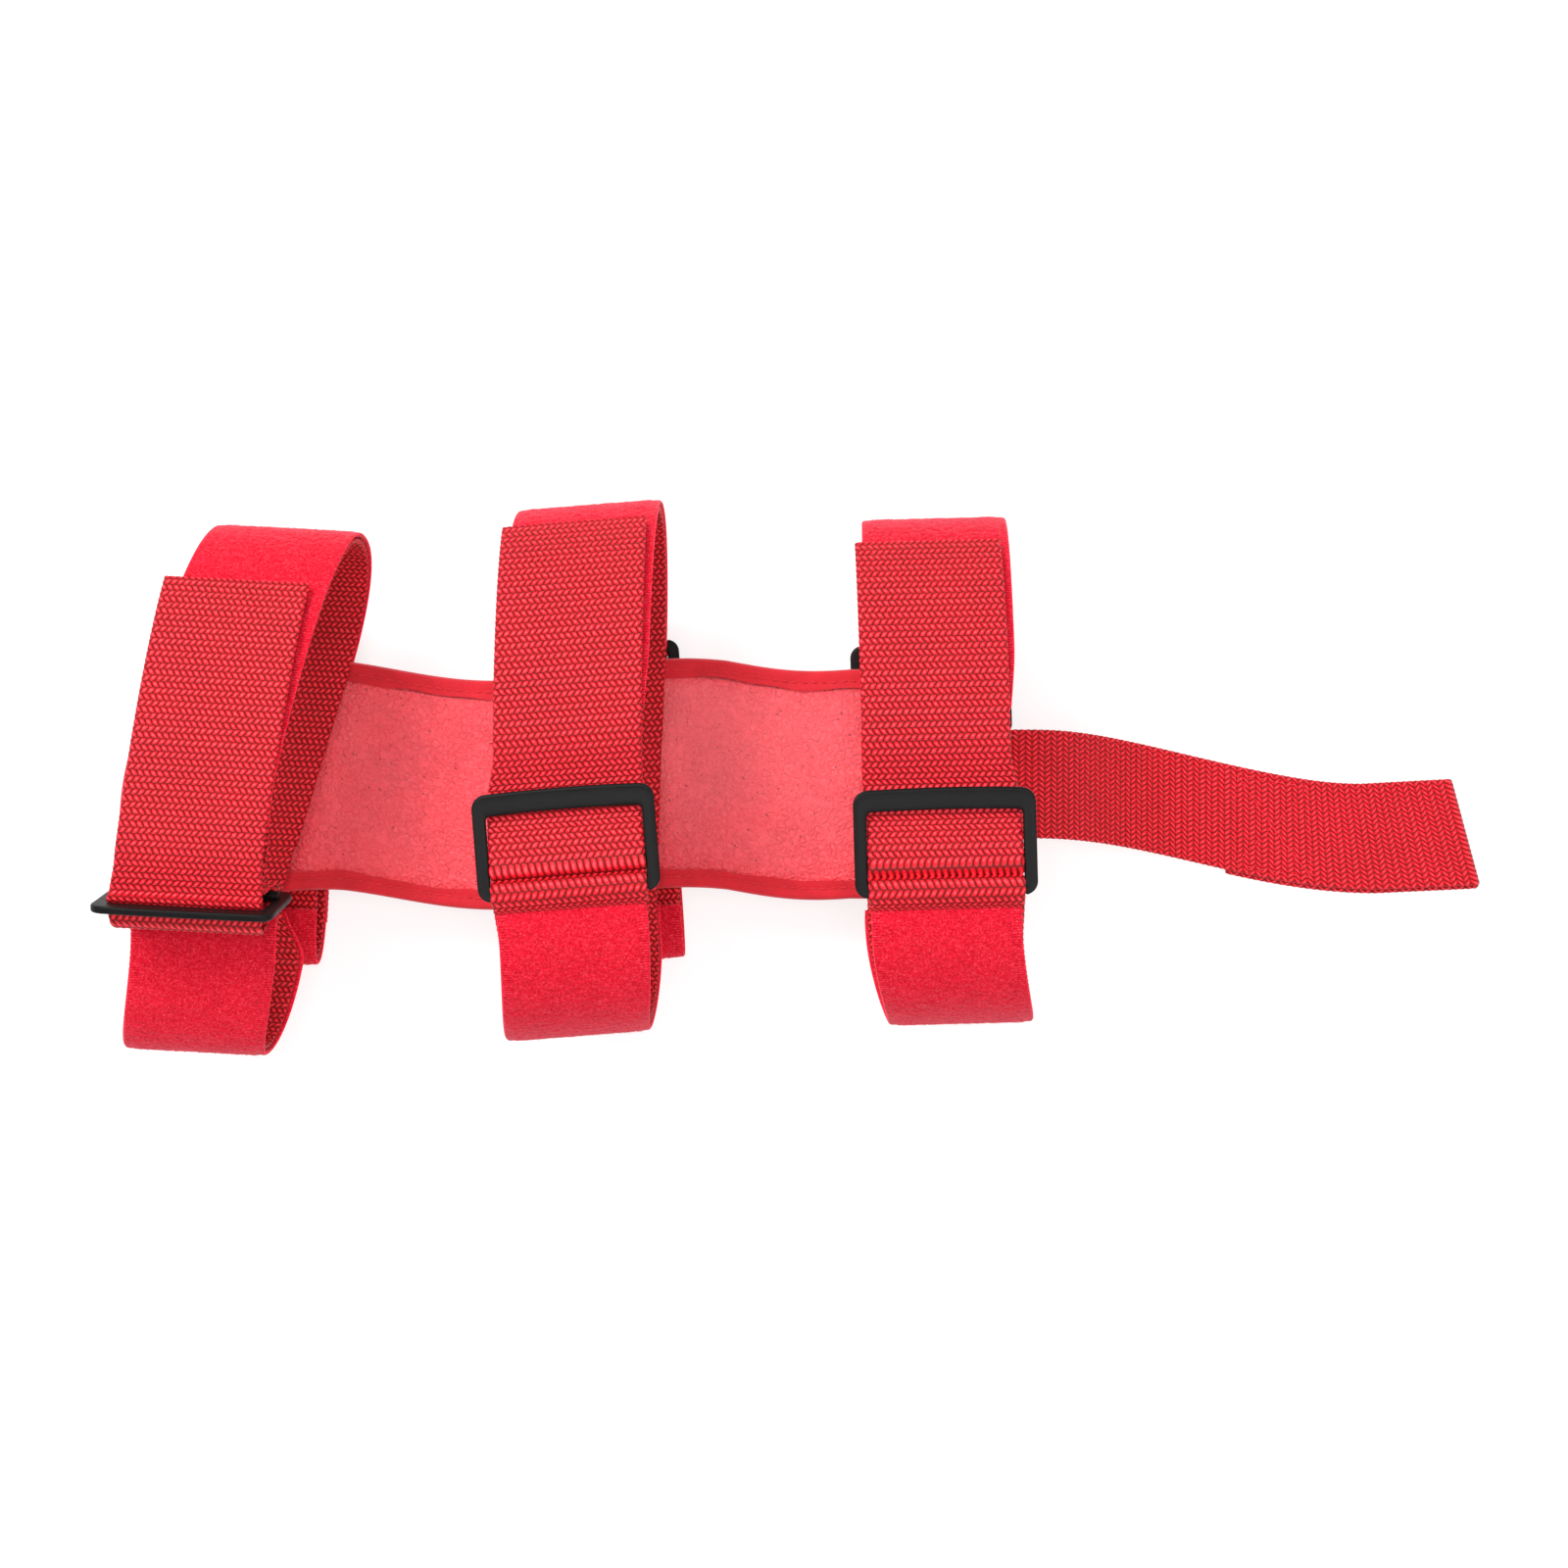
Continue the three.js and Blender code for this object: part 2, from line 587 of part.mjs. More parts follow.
// The pull strap: sewn into the panel's end, sloping down to the ground, its last part folded back under
function neckGroup(neckZ) {
  const rootEnd = PANEL.right + 4;
  const rootStart = PANEL.right - NECK.sewnIn;
  const freeStart = rootEnd + LEG_CLEARANCE;
  const freeEnd = freeStart + NECK.free;
  const foldBack = freeEnd - NECK.doubled;
  const layerGap = 0.4;
  const bulge = 2.6;
  const lowTop = GROUND_Z + NECK.thick;
  const highBottom = lowTop + layerGap;
  const foldRadius = (layerGap + bulge) / 2;
  const foldX = freeEnd - NECK.thick - foldRadius;
  const foldMiddle = vec(foldX, lowTop + foldRadius);
  const slope = { leaving: 25.4, arriving: 40, flat: 6 };
  const puff = { start: 32, leaving: 20, arriving: 22 };
  const landing = vec(foldBack - slope.flat, highBottom);
  const puffStart = vec(foldBack + puff.start, highBottom);
  const root = box(
    (rootStart + rootEnd) / 2,
    0,
    neckZ + NECK.thick / 2,
    rootEnd - rootStart,
    NECK.width,
    NECK.thick,
  );
  // drawn along the strap's lower face on the way out and its upper face on the way back
  const line = linePath([
    levelBend(vec(freeStart, neckZ), landing, slope.leaving, slope.arriving),
    [landing, puffStart],
    levelBend(puffStart, vec(foldX, highBottom + bulge), puff.leaving, puff.arriving),
    halfTurn(foldMiddle, highBottom + bulge, lowTop, foldRadius),
    [vec(foldX, lowTop), vec((foldX + foldBack) / 2, lowTop)],
    [vec((foldX + foldBack) / 2, lowTop), vec(foldBack, lowTop)],
  ]);
  const outline = new THREE.Shape([...line, ...offset(line, -NECK.thick).reverse()]);
  const strap = new THREE.ExtrudeGeometry(outline, { depth: NECK.width, bevelEnabled: false });
  strap.rotateX(Math.PI / 2);
  strap.translate(0, NECK.width / 2, 0);
  const position = strap.getAttribute('position');
  for (let i = 0; i < position.count; i += 1) {
    position.setY(i, position.getY(i) + neckSway(position.getX(i)));
  }
  const group = new THREE.Group();
  group.name = 'neck_strap';
  group.add(named('neck_strap_root', root, 'webbing'), named('neck_strap_loop', strap, 'webbing'));
  return group;
}

const paddingZ = BACK_Z + BINDING.skin + GAP + PANEL.lining + GAP;
const holder = new THREE.Group();
holder.name = 'strap_holder';
holder.add(panelGroup(paddingZ), neckGroup(paddingZ + GAP), ...STRAPS.map(strapGroup));

export default holder;
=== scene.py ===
# Looks for the strap-on holder: woven straps, pile tape, leatherette panel, bound edges, moulded slides.
# Every strap follows the same side-view lines as its CAD solid, in millimetres, and is then woven.
import math

import bpy
import numpy as np
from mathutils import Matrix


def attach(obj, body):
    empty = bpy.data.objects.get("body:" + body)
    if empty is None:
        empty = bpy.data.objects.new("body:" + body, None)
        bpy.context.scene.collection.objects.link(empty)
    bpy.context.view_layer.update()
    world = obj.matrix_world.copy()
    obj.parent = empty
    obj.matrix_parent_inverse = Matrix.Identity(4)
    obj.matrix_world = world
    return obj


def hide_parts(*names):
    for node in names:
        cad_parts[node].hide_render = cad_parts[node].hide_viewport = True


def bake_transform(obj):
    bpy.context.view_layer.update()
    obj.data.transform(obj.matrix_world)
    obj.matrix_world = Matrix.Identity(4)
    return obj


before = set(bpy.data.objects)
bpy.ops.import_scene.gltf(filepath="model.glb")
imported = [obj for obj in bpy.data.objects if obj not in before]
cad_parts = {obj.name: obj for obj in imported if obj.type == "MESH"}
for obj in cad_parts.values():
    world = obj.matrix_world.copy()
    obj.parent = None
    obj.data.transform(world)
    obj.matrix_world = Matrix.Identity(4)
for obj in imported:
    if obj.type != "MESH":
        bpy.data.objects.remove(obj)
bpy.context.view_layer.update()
MM = 0.001

# ---------------- sizes, in millimetres
GAP = 0.3
PANEL_LEFT, PANEL_RIGHT, PANEL_WIDTH = -162.0, 153.0, 84.0
FACE_THICK, PADDING_THICK, LINING_THICK = 1.0, 2.4, 0.8
BINDING_SKIN, BINDING_FLANGE = 1.0, 7.0
WEB_WIDTH, WEB_THICK = 49.0, 2.0
SQUEEZE = 0.047  # how much wider the webbing spreads where it is threaded round the slide's bars
PILE_WIDTH, PILE_THICK = 49.6, 1.8
HOOK_WIDTH, HOOK_THICK = 46.0, 1.2
NECK_WIDTH, NECK_THICK = 40.0, 1.8
NECK_SEWN_IN, NECK_FREE, NECK_DOUBLED = 22.0, 170.0, 90.0

SLIDE_WIDTH, SLIDE_OPENING, SLIDE_THICK = 60.0, 52.0, 3.0
SLIDE_TOP, SLIDE_TOP_BAR, SLIDE_CENTRE_BAR, SLIDE_BOTTOM = 33.4, 7.8, 9.5, -2.6
CENTRE_RADIUS, LOWER_RADIUS = 1.8, 2.0
CENTRE_BAR_DROP = 2.2
SLIDE_CORNER, SLIDE_BOW = 4.5, 0.8  # the frame's corner radius, and how far its top edge bows out
SLIDE_MOULDED = 2.5  # the frame as moulded, inside the CAD's full thickness
OPENING_HALF, OPENING_BOTTOM = SLIDE_OPENING / 2 - 0.3, LOWER_RADIUS - 0.1
OPENING_CORNER, OPENING_BOW = 1.6, 0.5
FRAME_SQUARENESS = 0.38  # 1 would be an oval section, 0 a square one
RIM_HEIGHT, RIM_PLACE, RIM_WIDTH = 0.22, 0.9, 0.09  # the raised line along the frame's outer edge
CENTRE_CLEARANCE, LOWER_CLEARANCE = 0.3, 0.5
STRAP_START = 20.0
PILE_SHORT, HOOK_SHORT, HOOK_INSET = 9.0, 11.0, 2.0
SEWN_HALF = 38.0
PUCKER = 2.0  # how much thicker the webbing bunches round the centre bar
TAPE_SEED = {"upper": 122, "lower": 113}  # added to each strap's own seed
HOOK_SEED, FIBRE_SEED = 7, 25
BLEND_RUN = 22.0  # a distance from a tail's root; the point found there is not used
LOW_TWIST_RUN = 26.0

PILE_LIFT = GAP
HOOK_LIFT = PILE_LIFT + PILE_THICK + GAP
TAIL_LIFT = HOOK_LIFT + HOOK_THICK + GAP
FRONT_LOOP_HEIGHT, REAR_LOOP_HEIGHT = 80.0, 16.0
TAB_RISE = 2 * (LOWER_RADIUS + LOWER_CLEARANCE) + WEB_THICK
PANEL_STACK = 2 * BINDING_SKIN + FACE_THICK + PADDING_THICK + LINING_THICK + 4 * GAP
FRONT_Z = -(GAP + WEB_THICK)
BACK_Z = FRONT_Z - PANEL_STACK
GROUND_Z = BACK_Z - REAR_LOOP_HEIGHT - TAB_RISE
LINING_Z = BACK_Z + BINDING_SKIN + GAP
PADDING_Z = LINING_Z + LINING_THICK + GAP
FACE_Z = PADDING_Z + PADDING_THICK + GAP

# shape of the loops' bends, as shares of the distances they span
WAIST, FOOT, SHOULDER, CROWN = 0.48, 0.35, 0.55, 0.6
HALF_TURN = 4 / 3  # a cubic bend's handles for half a circle, in radii
TOP_TWIST, TOP_TWIST_RUN = 0.5, 30.0
TAIL_FADE = (8.0, 16.0)  # the tail's drift fades in from this far before the top bar to this far past it

# the sewn-down end on the lower bar, the dip of a rear loop to its slide, and the webbing threaded through
# a slide that stands up (SWING) or lies flat (DROP)
TAB_LENGTH, TAB_LIFT, TAB_LEAVING, TAB_ARRIVING = 6.4, 0.7, 2.8, 3.4
REAR_FLAT_FROM, REAR_DIP, REAR_LEVEL_RUN = 46.0, 10.0, 1.5
SWING_LEG, SWING_OUTSIDE, SWING_DOWN, SWING_SIDEWAYS, SWING_UP, SWING_BACK = 4.0, 10.5, 7.0, 8.0, 4.0, 5.0
DROP_START, DROP_LEG, DROP_LEAVING, DROP_ARRIVING = 5.0, 4.0, 5.0, 7.0

# one row per loop: name, side, then the slide's x, yaw, lower bar and tilt; the loop's low end, high end,
# shift, turn and lean; the tail's reach, shift and turn
STRAPS = [
    ("front_left", 1, (-124.5, -3, -36.9, 100), (93, 88, 0.3, -13.7, -6.5), (66, 3, -4.5)),
    ("front_middle", 1, (-2, 4.5, -34.4, 0), (85, 94, 4.1, -6.3, -4.5), (83, 1.9, -4.8)),
    ("front_right", 1, (123.4, 1.5, -34.4, 0), (81, 90, 1.6, -0.9, 6.4), (78, -2.1, 0)),
    ("rear_left", -1, (-123, -3, -50, 0), (66, 64, 0, 0, 0), (50, 0, 0)),
    ("rear_middle", -1, (5, 4, -50, 0), (66, 64, 0, 0, 0), (50, 0, 0)),
    ("rear_right", -1, (127.3, 1.7, -50, 0), (66, 64, 0, 0, 0), (50, 0, 0)),
]

GRID = 0.5  # spacing of the fabric meshes
BEND_STEPS = 48
SHARP_ANGLE = 72.0  # faces that meet at more than this keep a sharp edge
YARN_CURVE, ROW_CURVE = 0.8, 0.7  # how boldly yarns and rows are rounded
WEAVE = {"pitch": 2.15, "row": 2.07, "swing": 0.3, "stagger": 0.5}
CHEVRON = {"pitch": 1.9, "row": 2.35, "swing": 0.5, "stagger": 0.0}
WEAVE_RELIEF, NECK_RELIEF, HOOK_RELIEF = 0.42, 0.4, 0.2
EDGE_RADIUS, EDGE_SHARE, EDGE_SCALLOP = 1.1, 0.15, 0.22  # how a strap's long edges are rounded and waved
PILE_FUZZ = 0.55
PILE_LEVEL, PILE_TUFTS, PILE_CLUMPS = 0.6, 0.17, 0.05
FIBRE_DENSITY = {1: 1.1, -1: 0.5}  # loose fibres per square millimetre of front and rear pile
FIBRE_HALF_WIDTH, FIBRE_SHORTEST, FIBRE_LONGEST = 0.06, 0.7, 1.5
FIBRE_LEAN, FIBRE_CURL, FIBRE_ROOT = 0.55, 0.25, 0.35
SELVEDGE, SELVEDGE_RIB = 3.6, 0.9  # flat woven margin of the pile tape, and the pitch of its ribs
STITCH_PITCH, STITCH_LENGTH, THREAD_RADIUS = 3.6, 2.7, 0.3


# ---------------- lines and meshes
def line_path(*pieces):
    """Straight runs (two points) and cubic bends (four points) joined end to end."""
    t = np.linspace(0, 1, BEND_STEPS + 1)[:, None]
    parts = []
    for piece in pieces:
        p = np.array(piece, float)
        if len(p) == 4:
            p = (1 - t) ** 3 * p[0] + 3 * (1 - t) ** 2 * t * p[1] + 3 * (1 - t) * t**2 * p[2] + t**3 * p[3]
        parts.append(p if not parts else p[1:])
    return np.vstack(parts)


def level_bend(start, end, leaving, arriving):
    """A bend that leaves and arrives level, held so for those two lengths."""
    return (start, (start[0] + leaving, start[1]), (end[0] - arriving, end[1]), end)


def half_turn(x, start, end, bulge):
    """Half a circle from height start to height end, bulging that far beyond x."""
    reach = x + bulge * HALF_TURN
    return ((x, start), (reach, start), (reach, end), (x, end))


def distances(points):
    """How far along a line each of its points is."""
    return np.concatenate([[0], np.cumsum(np.linalg.norm(np.diff(points, axis=0), axis=1))])


def resample(points, spacing, start=0.0, end=None):
    """The line between two distances along it, as evenly spaced points, with those distances."""
    along = distances(points)
    end = along[-1] if end is None else end
    count = max(int(round((end - start) / spacing)), 2) + 1
    s = np.linspace(start, end, count)
    return np.stack([np.interp(s, along, points[:, i]) for i in (0, 1)], 1), s


def reach_distance(points, reach):
    """How far along a line it first gets further than reach from the panel's middle line."""
    return distances(points)[int(np.argmax(np.abs(points[:, 0]) > reach))]


def outward(points):
    """Unit normals to the right of the direction of travel."""
    d = np.gradient(points, axis=0)
    d /= np.linalg.norm(d, axis=1)[:, None]
    return np.stack([d[:, 1], -d[:, 0]], 1)


def full_turn(count):
    return np.linspace(0, 2 * np.pi, count, endpoint=False)


def smooth(value, low, high):
    """0 below low, 1 above high, and a soft rise between them."""
    t = np.clip((value - low) / (high - low), 0, 1)
    return t * t * (3 - 2 * t)


def make_mesh(name, points_mm, quads, material, thread=None):
    """One smooth mesh from points in millimetres and four-cornered faces, with its thread coordinates."""
    points = np.asarray(points_mm, float).reshape(-1, 3) * MM
    quads = np.asarray(quads, np.int32).reshape(-1, 4)
    mesh = bpy.data.meshes.new(name)
    mesh.vertices.add(len(points))
    mesh.vertices.foreach_set("co", points.ravel())
    mesh.loops.add(quads.size)
    mesh.loops.foreach_set("vertex_index", quads.ravel())
    mesh.polygons.add(len(quads))
    mesh.polygons.foreach_set("loop_start", np.arange(0, quads.size, 4, dtype=np.int32))
    mesh.polygons.foreach_set("use_smooth", np.ones(len(quads), bool))
    mesh.update(calc_edges=True)
    layer = mesh.attributes.new("thread", "FLOAT_VECTOR", "POINT")
    values = points / MM if thread is None else thread
    layer.data.foreach_set("vector", np.asarray(values, np.float32).ravel())
    mesh.validate()
    mesh.set_sharp_from_angle(angle=math.radians(SHARP_ANGLE))
    mesh.materials.append(material)
    obj = bpy.data.objects.new(name, mesh)
    bpy.context.scene.collection.objects.link(obj)
    return obj


def ring_quads(rows, ring):
    """Faces of a tube of `rows` rings, its ends closed by joining each ring's two halves."""
    i, j = np.meshgrid(np.arange(rows - 1), np.arange(ring), indexing="ij")
    k = (j + 1) % ring
    quads = np.stack([i * ring + j, i * ring + k, (i + 1) * ring + k, (i + 1) * ring + j], -1)
    top = np.arange(ring // 2 - 1)
    facing = ring - 1 - top
    start = np.stack([top, facing, facing - 1, top + 1], -1)
    end = np.stack([top + 1, facing - 1, facing, top], -1) + (rows - 1) * ring
    return np.vstack([quads.reshape(-1, 4), start, end])


def closed_quads(count, width):
    """Faces of a closed sweep of `count` closed sections."""
    i, j = np.meshgrid(np.arange(count), np.arange(width), indexing="ij")
    n, m = (i + 1) % count, (j + 1) % width
    return np.stack([i * width + j, n * width + j, n * width + m, i * width + m], -1).reshape(-1, 4)


def corner_arcs(half, top, bottom, radius, count):
    """The four quarter circles of a rounded rectangle, anticlockwise from its top right corner."""
    arcs = []
    corners = ((1, top, -1), (-1, top, -1), (-1, bottom, 1), (1, bottom, 1))
    for quarter, (side, y, inward) in enumerate(corners):
        angles = np.radians(90 * quarter + np.linspace(0, 90, count))
        centre = [side * (half - radius), y + inward * radius]
        arcs.append(np.stack([np.cos(angles), np.sin(angles)], 1) * radius + centre)
    return arcs


# ---------------- surface reliefs
def woven(x, s, pitch, row, swing, stagger):
    """Height 0 to 1 of heavy webbing: short yarns that lean left and right in alternate rows."""
    turn = s / row
    lean = np.abs(turn % 2 - 1) - 0.5
    aside = stagger * np.floor(turn % 2)
    yarn = np.abs(np.cos(np.pi * (x / pitch - 2 * swing * lean + aside))) ** YARN_CURVE
    return yarn * (0.3 + 0.7 * np.abs(np.sin(np.pi * turn)) ** ROW_CURVE)


def soft_noise(shape, cells, seed):
    """Smooth random field of mean 0 and spread 1, with features `cells` grid steps wide."""
    field = np.random.default_rng(seed).standard_normal(shape)
    width = max(int(cells), 1)
    kernel = np.hanning(width + 2)[1:-1]
    for axis in (0, 1):
        total = np.zeros(shape)
        for step, weight in enumerate(kernel):
            total += weight * np.roll(field, step - width // 2, axis)
        field = total
    return field / field.std()


# ---------------- materials
class Look:
    """A node material under construction, with short ways to add and join nodes."""

    def __init__(self, name, roughness, specular=0.4):
        self.material = bpy.data.materials.new(name)
        self.material.use_nodes = True
        self.tree = self.material.node_tree
        self.shader = self.tree.nodes["Principled BSDF"]
        self.set(self.shader, "Roughness", roughness)
        self.set(self.shader, "Specular IOR Level", specular)

    def set(self, node, key, value):
        socket = node.inputs[key]
        if isinstance(value, bpy.types.NodeSocket):
            self.tree.links.new(value, socket)
        else:
            socket.default_value = value

    def node(self, kind, inputs, **settings):
        """A new node with its settings made and its inputs set or joined, by name or by number."""
        node = self.tree.nodes.new(f"ShaderNode{kind}")
        for key, value in settings.items():
            setattr(node, key, value)
        for key, value in inputs.items():
            self.set(node, key, value)
        return node

    def math(self, operation, a, b=0.0, c=0.0):
        return self.node("Math", {0: a, 1: b, 2: c}, operation=operation).outputs[0]

    def times(self, a, b):
        return self.math("MULTIPLY", a, b)

    def times_plus(self, a, b, c):
        return self.math("MULTIPLY_ADD", a, b, c)

    def thread(self):
        """The piece's own place on its cloth: the whole vector, then millimetres across and along the
        strap, then the third value, which is the modelled relief or how far out along a fibre."""
        place = self.node("Attribute", {}, attribute_name="thread").outputs["Vector"]
        return place, *self.node("SeparateXYZ", {0: place}).outputs

    def noise(self, vector, scale, detail=3.0, roughness=0.6):
        inputs = {"Vector": vector, "Scale": scale, "Detail": detail, "Roughness": roughness}
        return self.node("TexNoise", inputs).outputs["Fac"]

    def cells(self, vector, scale, feature="DISTANCE_TO_EDGE"):
        node = self.node("TexVoronoi", {"Vector": vector, "Scale": scale}, feature=feature)
        return node.outputs["Distance"]

    def combine(self, x, y, z=0.0):
        return self.node("CombineXYZ", {0: x, 1: y, 2: z}).outputs[0]

    def spread(self, value, low, high, from_low=0.3, from_high=0.7):
        """The value's range from_low to from_high stretched to low to high, and held there."""
        inputs = {"Value": value, "From Min": from_low, "From Max": from_high, "To Min": low, "To Max": high}
        return self.node("MapRange", inputs, clamp=True).outputs["Result"]

    def ramp(self, value, *stops):
        node = self.node("ValToRGB", {"Fac": value})
        elements = node.color_ramp.elements
        while len(elements) < len(stops):
            elements.new(0.5)
        for element, (position, colour) in zip(elements, stops):
            element.position = position
            element.color = (*colour, 1)
        return node.outputs["Color"]

    def brightness(self, colour, value):
        return self.node("HueSaturation", {"Color": colour, "Value": value}).outputs["Color"]

    def bump(self, height, distance, strength=1.0, normal=None):
        inputs = {"Height": height, "Distance": distance, "Strength": strength}
        if normal is not None:
            inputs["Normal"] = normal
        return self.node("Bump", inputs).outputs["Normal"]

    def sheen(self, weight, roughness, tint):
        self.set(self.shader, "Sheen Weight", weight)
        self.set(self.shader, "Sheen Roughness", roughness)
        self.set(self.shader, "Sheen Tint", (*tint, 1))

    def finish(self, colour, normal=None):
        self.set(self.shader, "Base Color", colour)
        if normal is not None:
            self.set(self.shader, "Normal", normal)
        return self.material


def webbing_look(name, pitch, row, swing, stagger, shaded_valley, crest, highlit_tip):
    """Dyed polyester webbing: the yarns' own lean, painted shade in the gaps between them, a painted
    highlight on their tops, and fine filaments.
    """
    look = Look(name, 0.5, 0.28)
    place, x, s, _ = look.thread()
    turn = look.math("DIVIDE", s, row)
    lean = look.math("SUBTRACT", look.math("PINGPONG", turn, 1.0), 0.5)
    lean = look.times(lean, -2 * swing)
    every_other = look.math("FLOOR", look.math("FLOORED_MODULO", turn, 2.0))
    lean = look.times_plus(every_other, stagger, lean)
    wander = look.times_plus(look.noise(place, 0.9, 1.0), 0.3, -0.15)
    across = look.math("ADD", look.times_plus(x, 1 / pitch, lean), wander)
    yarn = look.math("ABSOLUTE", look.math("COSINE", look.times(across, math.pi)))
    yarn = look.math("POWER", yarn, YARN_CURVE)
    row_rise = look.math("ABSOLUTE", look.math("SINE", look.times(turn, math.pi)))
    row_rise = look.times_plus(look.math("POWER", row_rise, ROW_CURVE), 0.72, 0.28)
    height = look.times(yarn, row_rise)
    fibres = look.combine(look.times(across, 9.0), look.times(turn, 1.3))
    filaments = look.noise(fibres, 1.0)
    # painted shade and highlight: the colour darkens into the gaps between the yarns and turns pale on their
    # tops
    colour = look.ramp(height, (0.32, shaded_valley), (0.68, crest), (0.84, crest), (0.97, highlit_tip))
    wear = look.noise(place, 0.05, 3.0)
    shade = look.times(look.spread(filaments, 0.86, 1.1), look.spread(wear, 0.93, 1.06))
    fine = look.bump(filaments, 0.00012, 0.6)
    normal = look.bump(height, 0.00055, 0.8, fine)
    look.sheen(0.04, 0.4, (1, 0.6, 0.6))
    return look.finish(look.brightness(colour, shade), normal)


def pile_look():
    """Brushed loop tape: tiny curled loops, pinker where it is seen from the side, flat woven selvedges,
    painted shade in the hollows, and painted highlights on the loops' tops, on the specks and along each
    edge.
    """
    look = Look("pile", 0.9, 0.12)
    place, x, s, _ = look.thread()
    swirl = look.noise(place, 0.8, 2.0)
    curled = look.combine(look.times_plus(swirl, 2.0, x), s, swirl)
    curls = look.noise(curled, 1.3, 4.0, 0.8)
    soft = look.noise(place, 0.12, 2.0)
    specks = look.spread(look.cells(curled, 0.8, "F1"), 1.0, 0.0, 0.08, 0.2)
    across = look.math("ABSOLUTE", x)
    margin = look.spread(across, 0.0, 1.0, PILE_WIDTH / 2 - SELVEDGE, PILE_WIDTH / 2 - SELVEDGE + 0.5)
    rib = look.math("SINE", look.times(s, 2 * math.pi / SELVEDGE_RIB))
    ribs = look.times(look.times(rib, 0.07), margin)
    height = look.math("ADD", look.times_plus(specks, 0.25, curls), ribs)
    # painted shade and highlight: darker in the hollows between the curls, paler on their tops and on the
    # specks
    colour = look.ramp(
        height, (0.34, (0.46, 0.002, 0.012)), (0.52, (0.76, 0.008, 0.030)), (0.80, (0.94, 0.085, 0.13))
    )
    # painted highlight: a brighter line along the tape's very edge
    edge_highlight = look.spread(across, 1.0, 1.5, PILE_WIDTH / 2 - 0.5, PILE_WIDTH / 2 - 0.2)
    shade = look.times(look.spread(soft, 0.95, 1.04), edge_highlight)
    normal = look.bump(height, 0.0006, 0.6)
    look.sheen(0.5, 0.3, (1, 0.5, 0.6))
    return look.finish(look.brightness(colour, shade), normal)


def fibre_look():
    """Single fibres of the pile, paler towards their tips as a painted highlight."""
    look = Look("pile_fibre", 0.7, 0.2)
    place, _, _, highlit_tip = look.thread()
    # painted highlight: paler towards each fibre's tip
    colour = look.ramp(highlit_tip, (0.1, (0.74, 0.008, 0.030)), (0.95, (0.96, 0.14, 0.20)))
    look.sheen(0.4, 0.3, (1, 0.6, 0.7))
    return look.finish(look.brightness(colour, look.spread(look.noise(place, 0.9), 0.85, 1.12)))


def hook_look():
    look = Look("hook_tape", 0.5, 0.4)
    place = look.thread()[0]
    dots = look.cells(place, 0.7, "F1")
    colour = look.ramp(dots, (0.1, (0.62, 0.02, 0.03)), (0.6, (0.30, 0.004, 0.010)))
    return look.finish(colour, look.bump(dots, -0.0003, 0.8))


def cloth_look(name, dark, light, pitch, roughness=0.7, sheen=0.2, ribs=0.35):
    """Plain woven tape with fine crosswise ribs, and soft creases painted as broad patches of shade and
    light.
    """
    look = Look(name, roughness, 0.35)
    place, _, s, _ = look.thread()
    rib = look.math("SINE", look.times(s, 2 * math.pi / pitch))
    grain = look.noise(place, 2.2, 3.0, 0.7)
    fold_shading = look.noise(place, 0.11, 3.0)
    colour = look.ramp(look.times_plus(rib, 0.08, grain), (0.25, dark), (0.75, light))
    height = look.times_plus(rib, ribs, grain)
    look.sheen(sheen, 0.4, (1, 0.6, 0.65))
    # painted shade and light of soft creases: the colour is a little darker or lighter in broad patches
    shade = look.spread(fold_shading, 0.9, 1.08)
    return look.finish(look.brightness(colour, shade), look.bump(height, 0.00018, 0.5))


def leatherette_look():
    """Glossy coated cloth: creased grain in patches, pin pores, slightly uneven gloss, a painted highlight
    along the creases, painted shade in the pores and a painted shadow under the upper binding's lip.
    """
    look = Look("leatherette", 0.3, 0.75)
    place, x, s, _ = look.thread()
    patches = look.noise(place, 0.035, 3.0)
    warp = look.noise(place, 0.5, 2.0)
    moved = look.combine(look.times_plus(warp, 1.8, x), look.times_plus(warp, -1.4, s))
    grain = look.cells(moved, 0.45)
    fine = look.noise(place, 1.5, 4.0, 0.7)
    pores = look.spread(look.cells(moved, 0.3, "F1"), 0.0, 1.0, 0.05, 0.14)
    depth = look.spread(patches, 0.65, 1.0, 0.40, 0.60)
    creases = look.times_plus(look.math("MINIMUM", grain, 0.25), 4.0, fine)
    height = look.times(creases, depth)
    height = look.math("ADD", height, look.times(pores, 0.6))
    colour = look.ramp(patches, (0.3, (0.98, 0.052, 0.076)), (0.7, (1.0, 0.080, 0.110)))
    # painted highlight: a little brighter along the creases; painted shade: darker in the pores
    crease_highlight = look.spread(look.math("MINIMUM", grain, 0.25), 1.08, 1.0, 0.0, 0.2)
    shade = look.times(crease_highlight, look.spread(pores, 0.45, 1.0, 0.0, 1.0))
    # painted shadow: the face darkens just under the upper binding's lip
    lip = PANEL_WIDTH / 2 - BINDING_FLANGE
    shade = look.times(shade, look.spread(s, 1.0, 0.4, lip - 0.7, lip + 0.3))
    colour = look.brightness(colour, shade)
    look.set(look.shader, "Roughness", look.spread(fine, 0.22, 0.38))
    look.set(look.shader, "Coat Weight", 0.2)
    look.set(look.shader, "Coat Roughness", 0.28)
    return look.finish(colour, look.bump(height, 0.0007, 0.8))


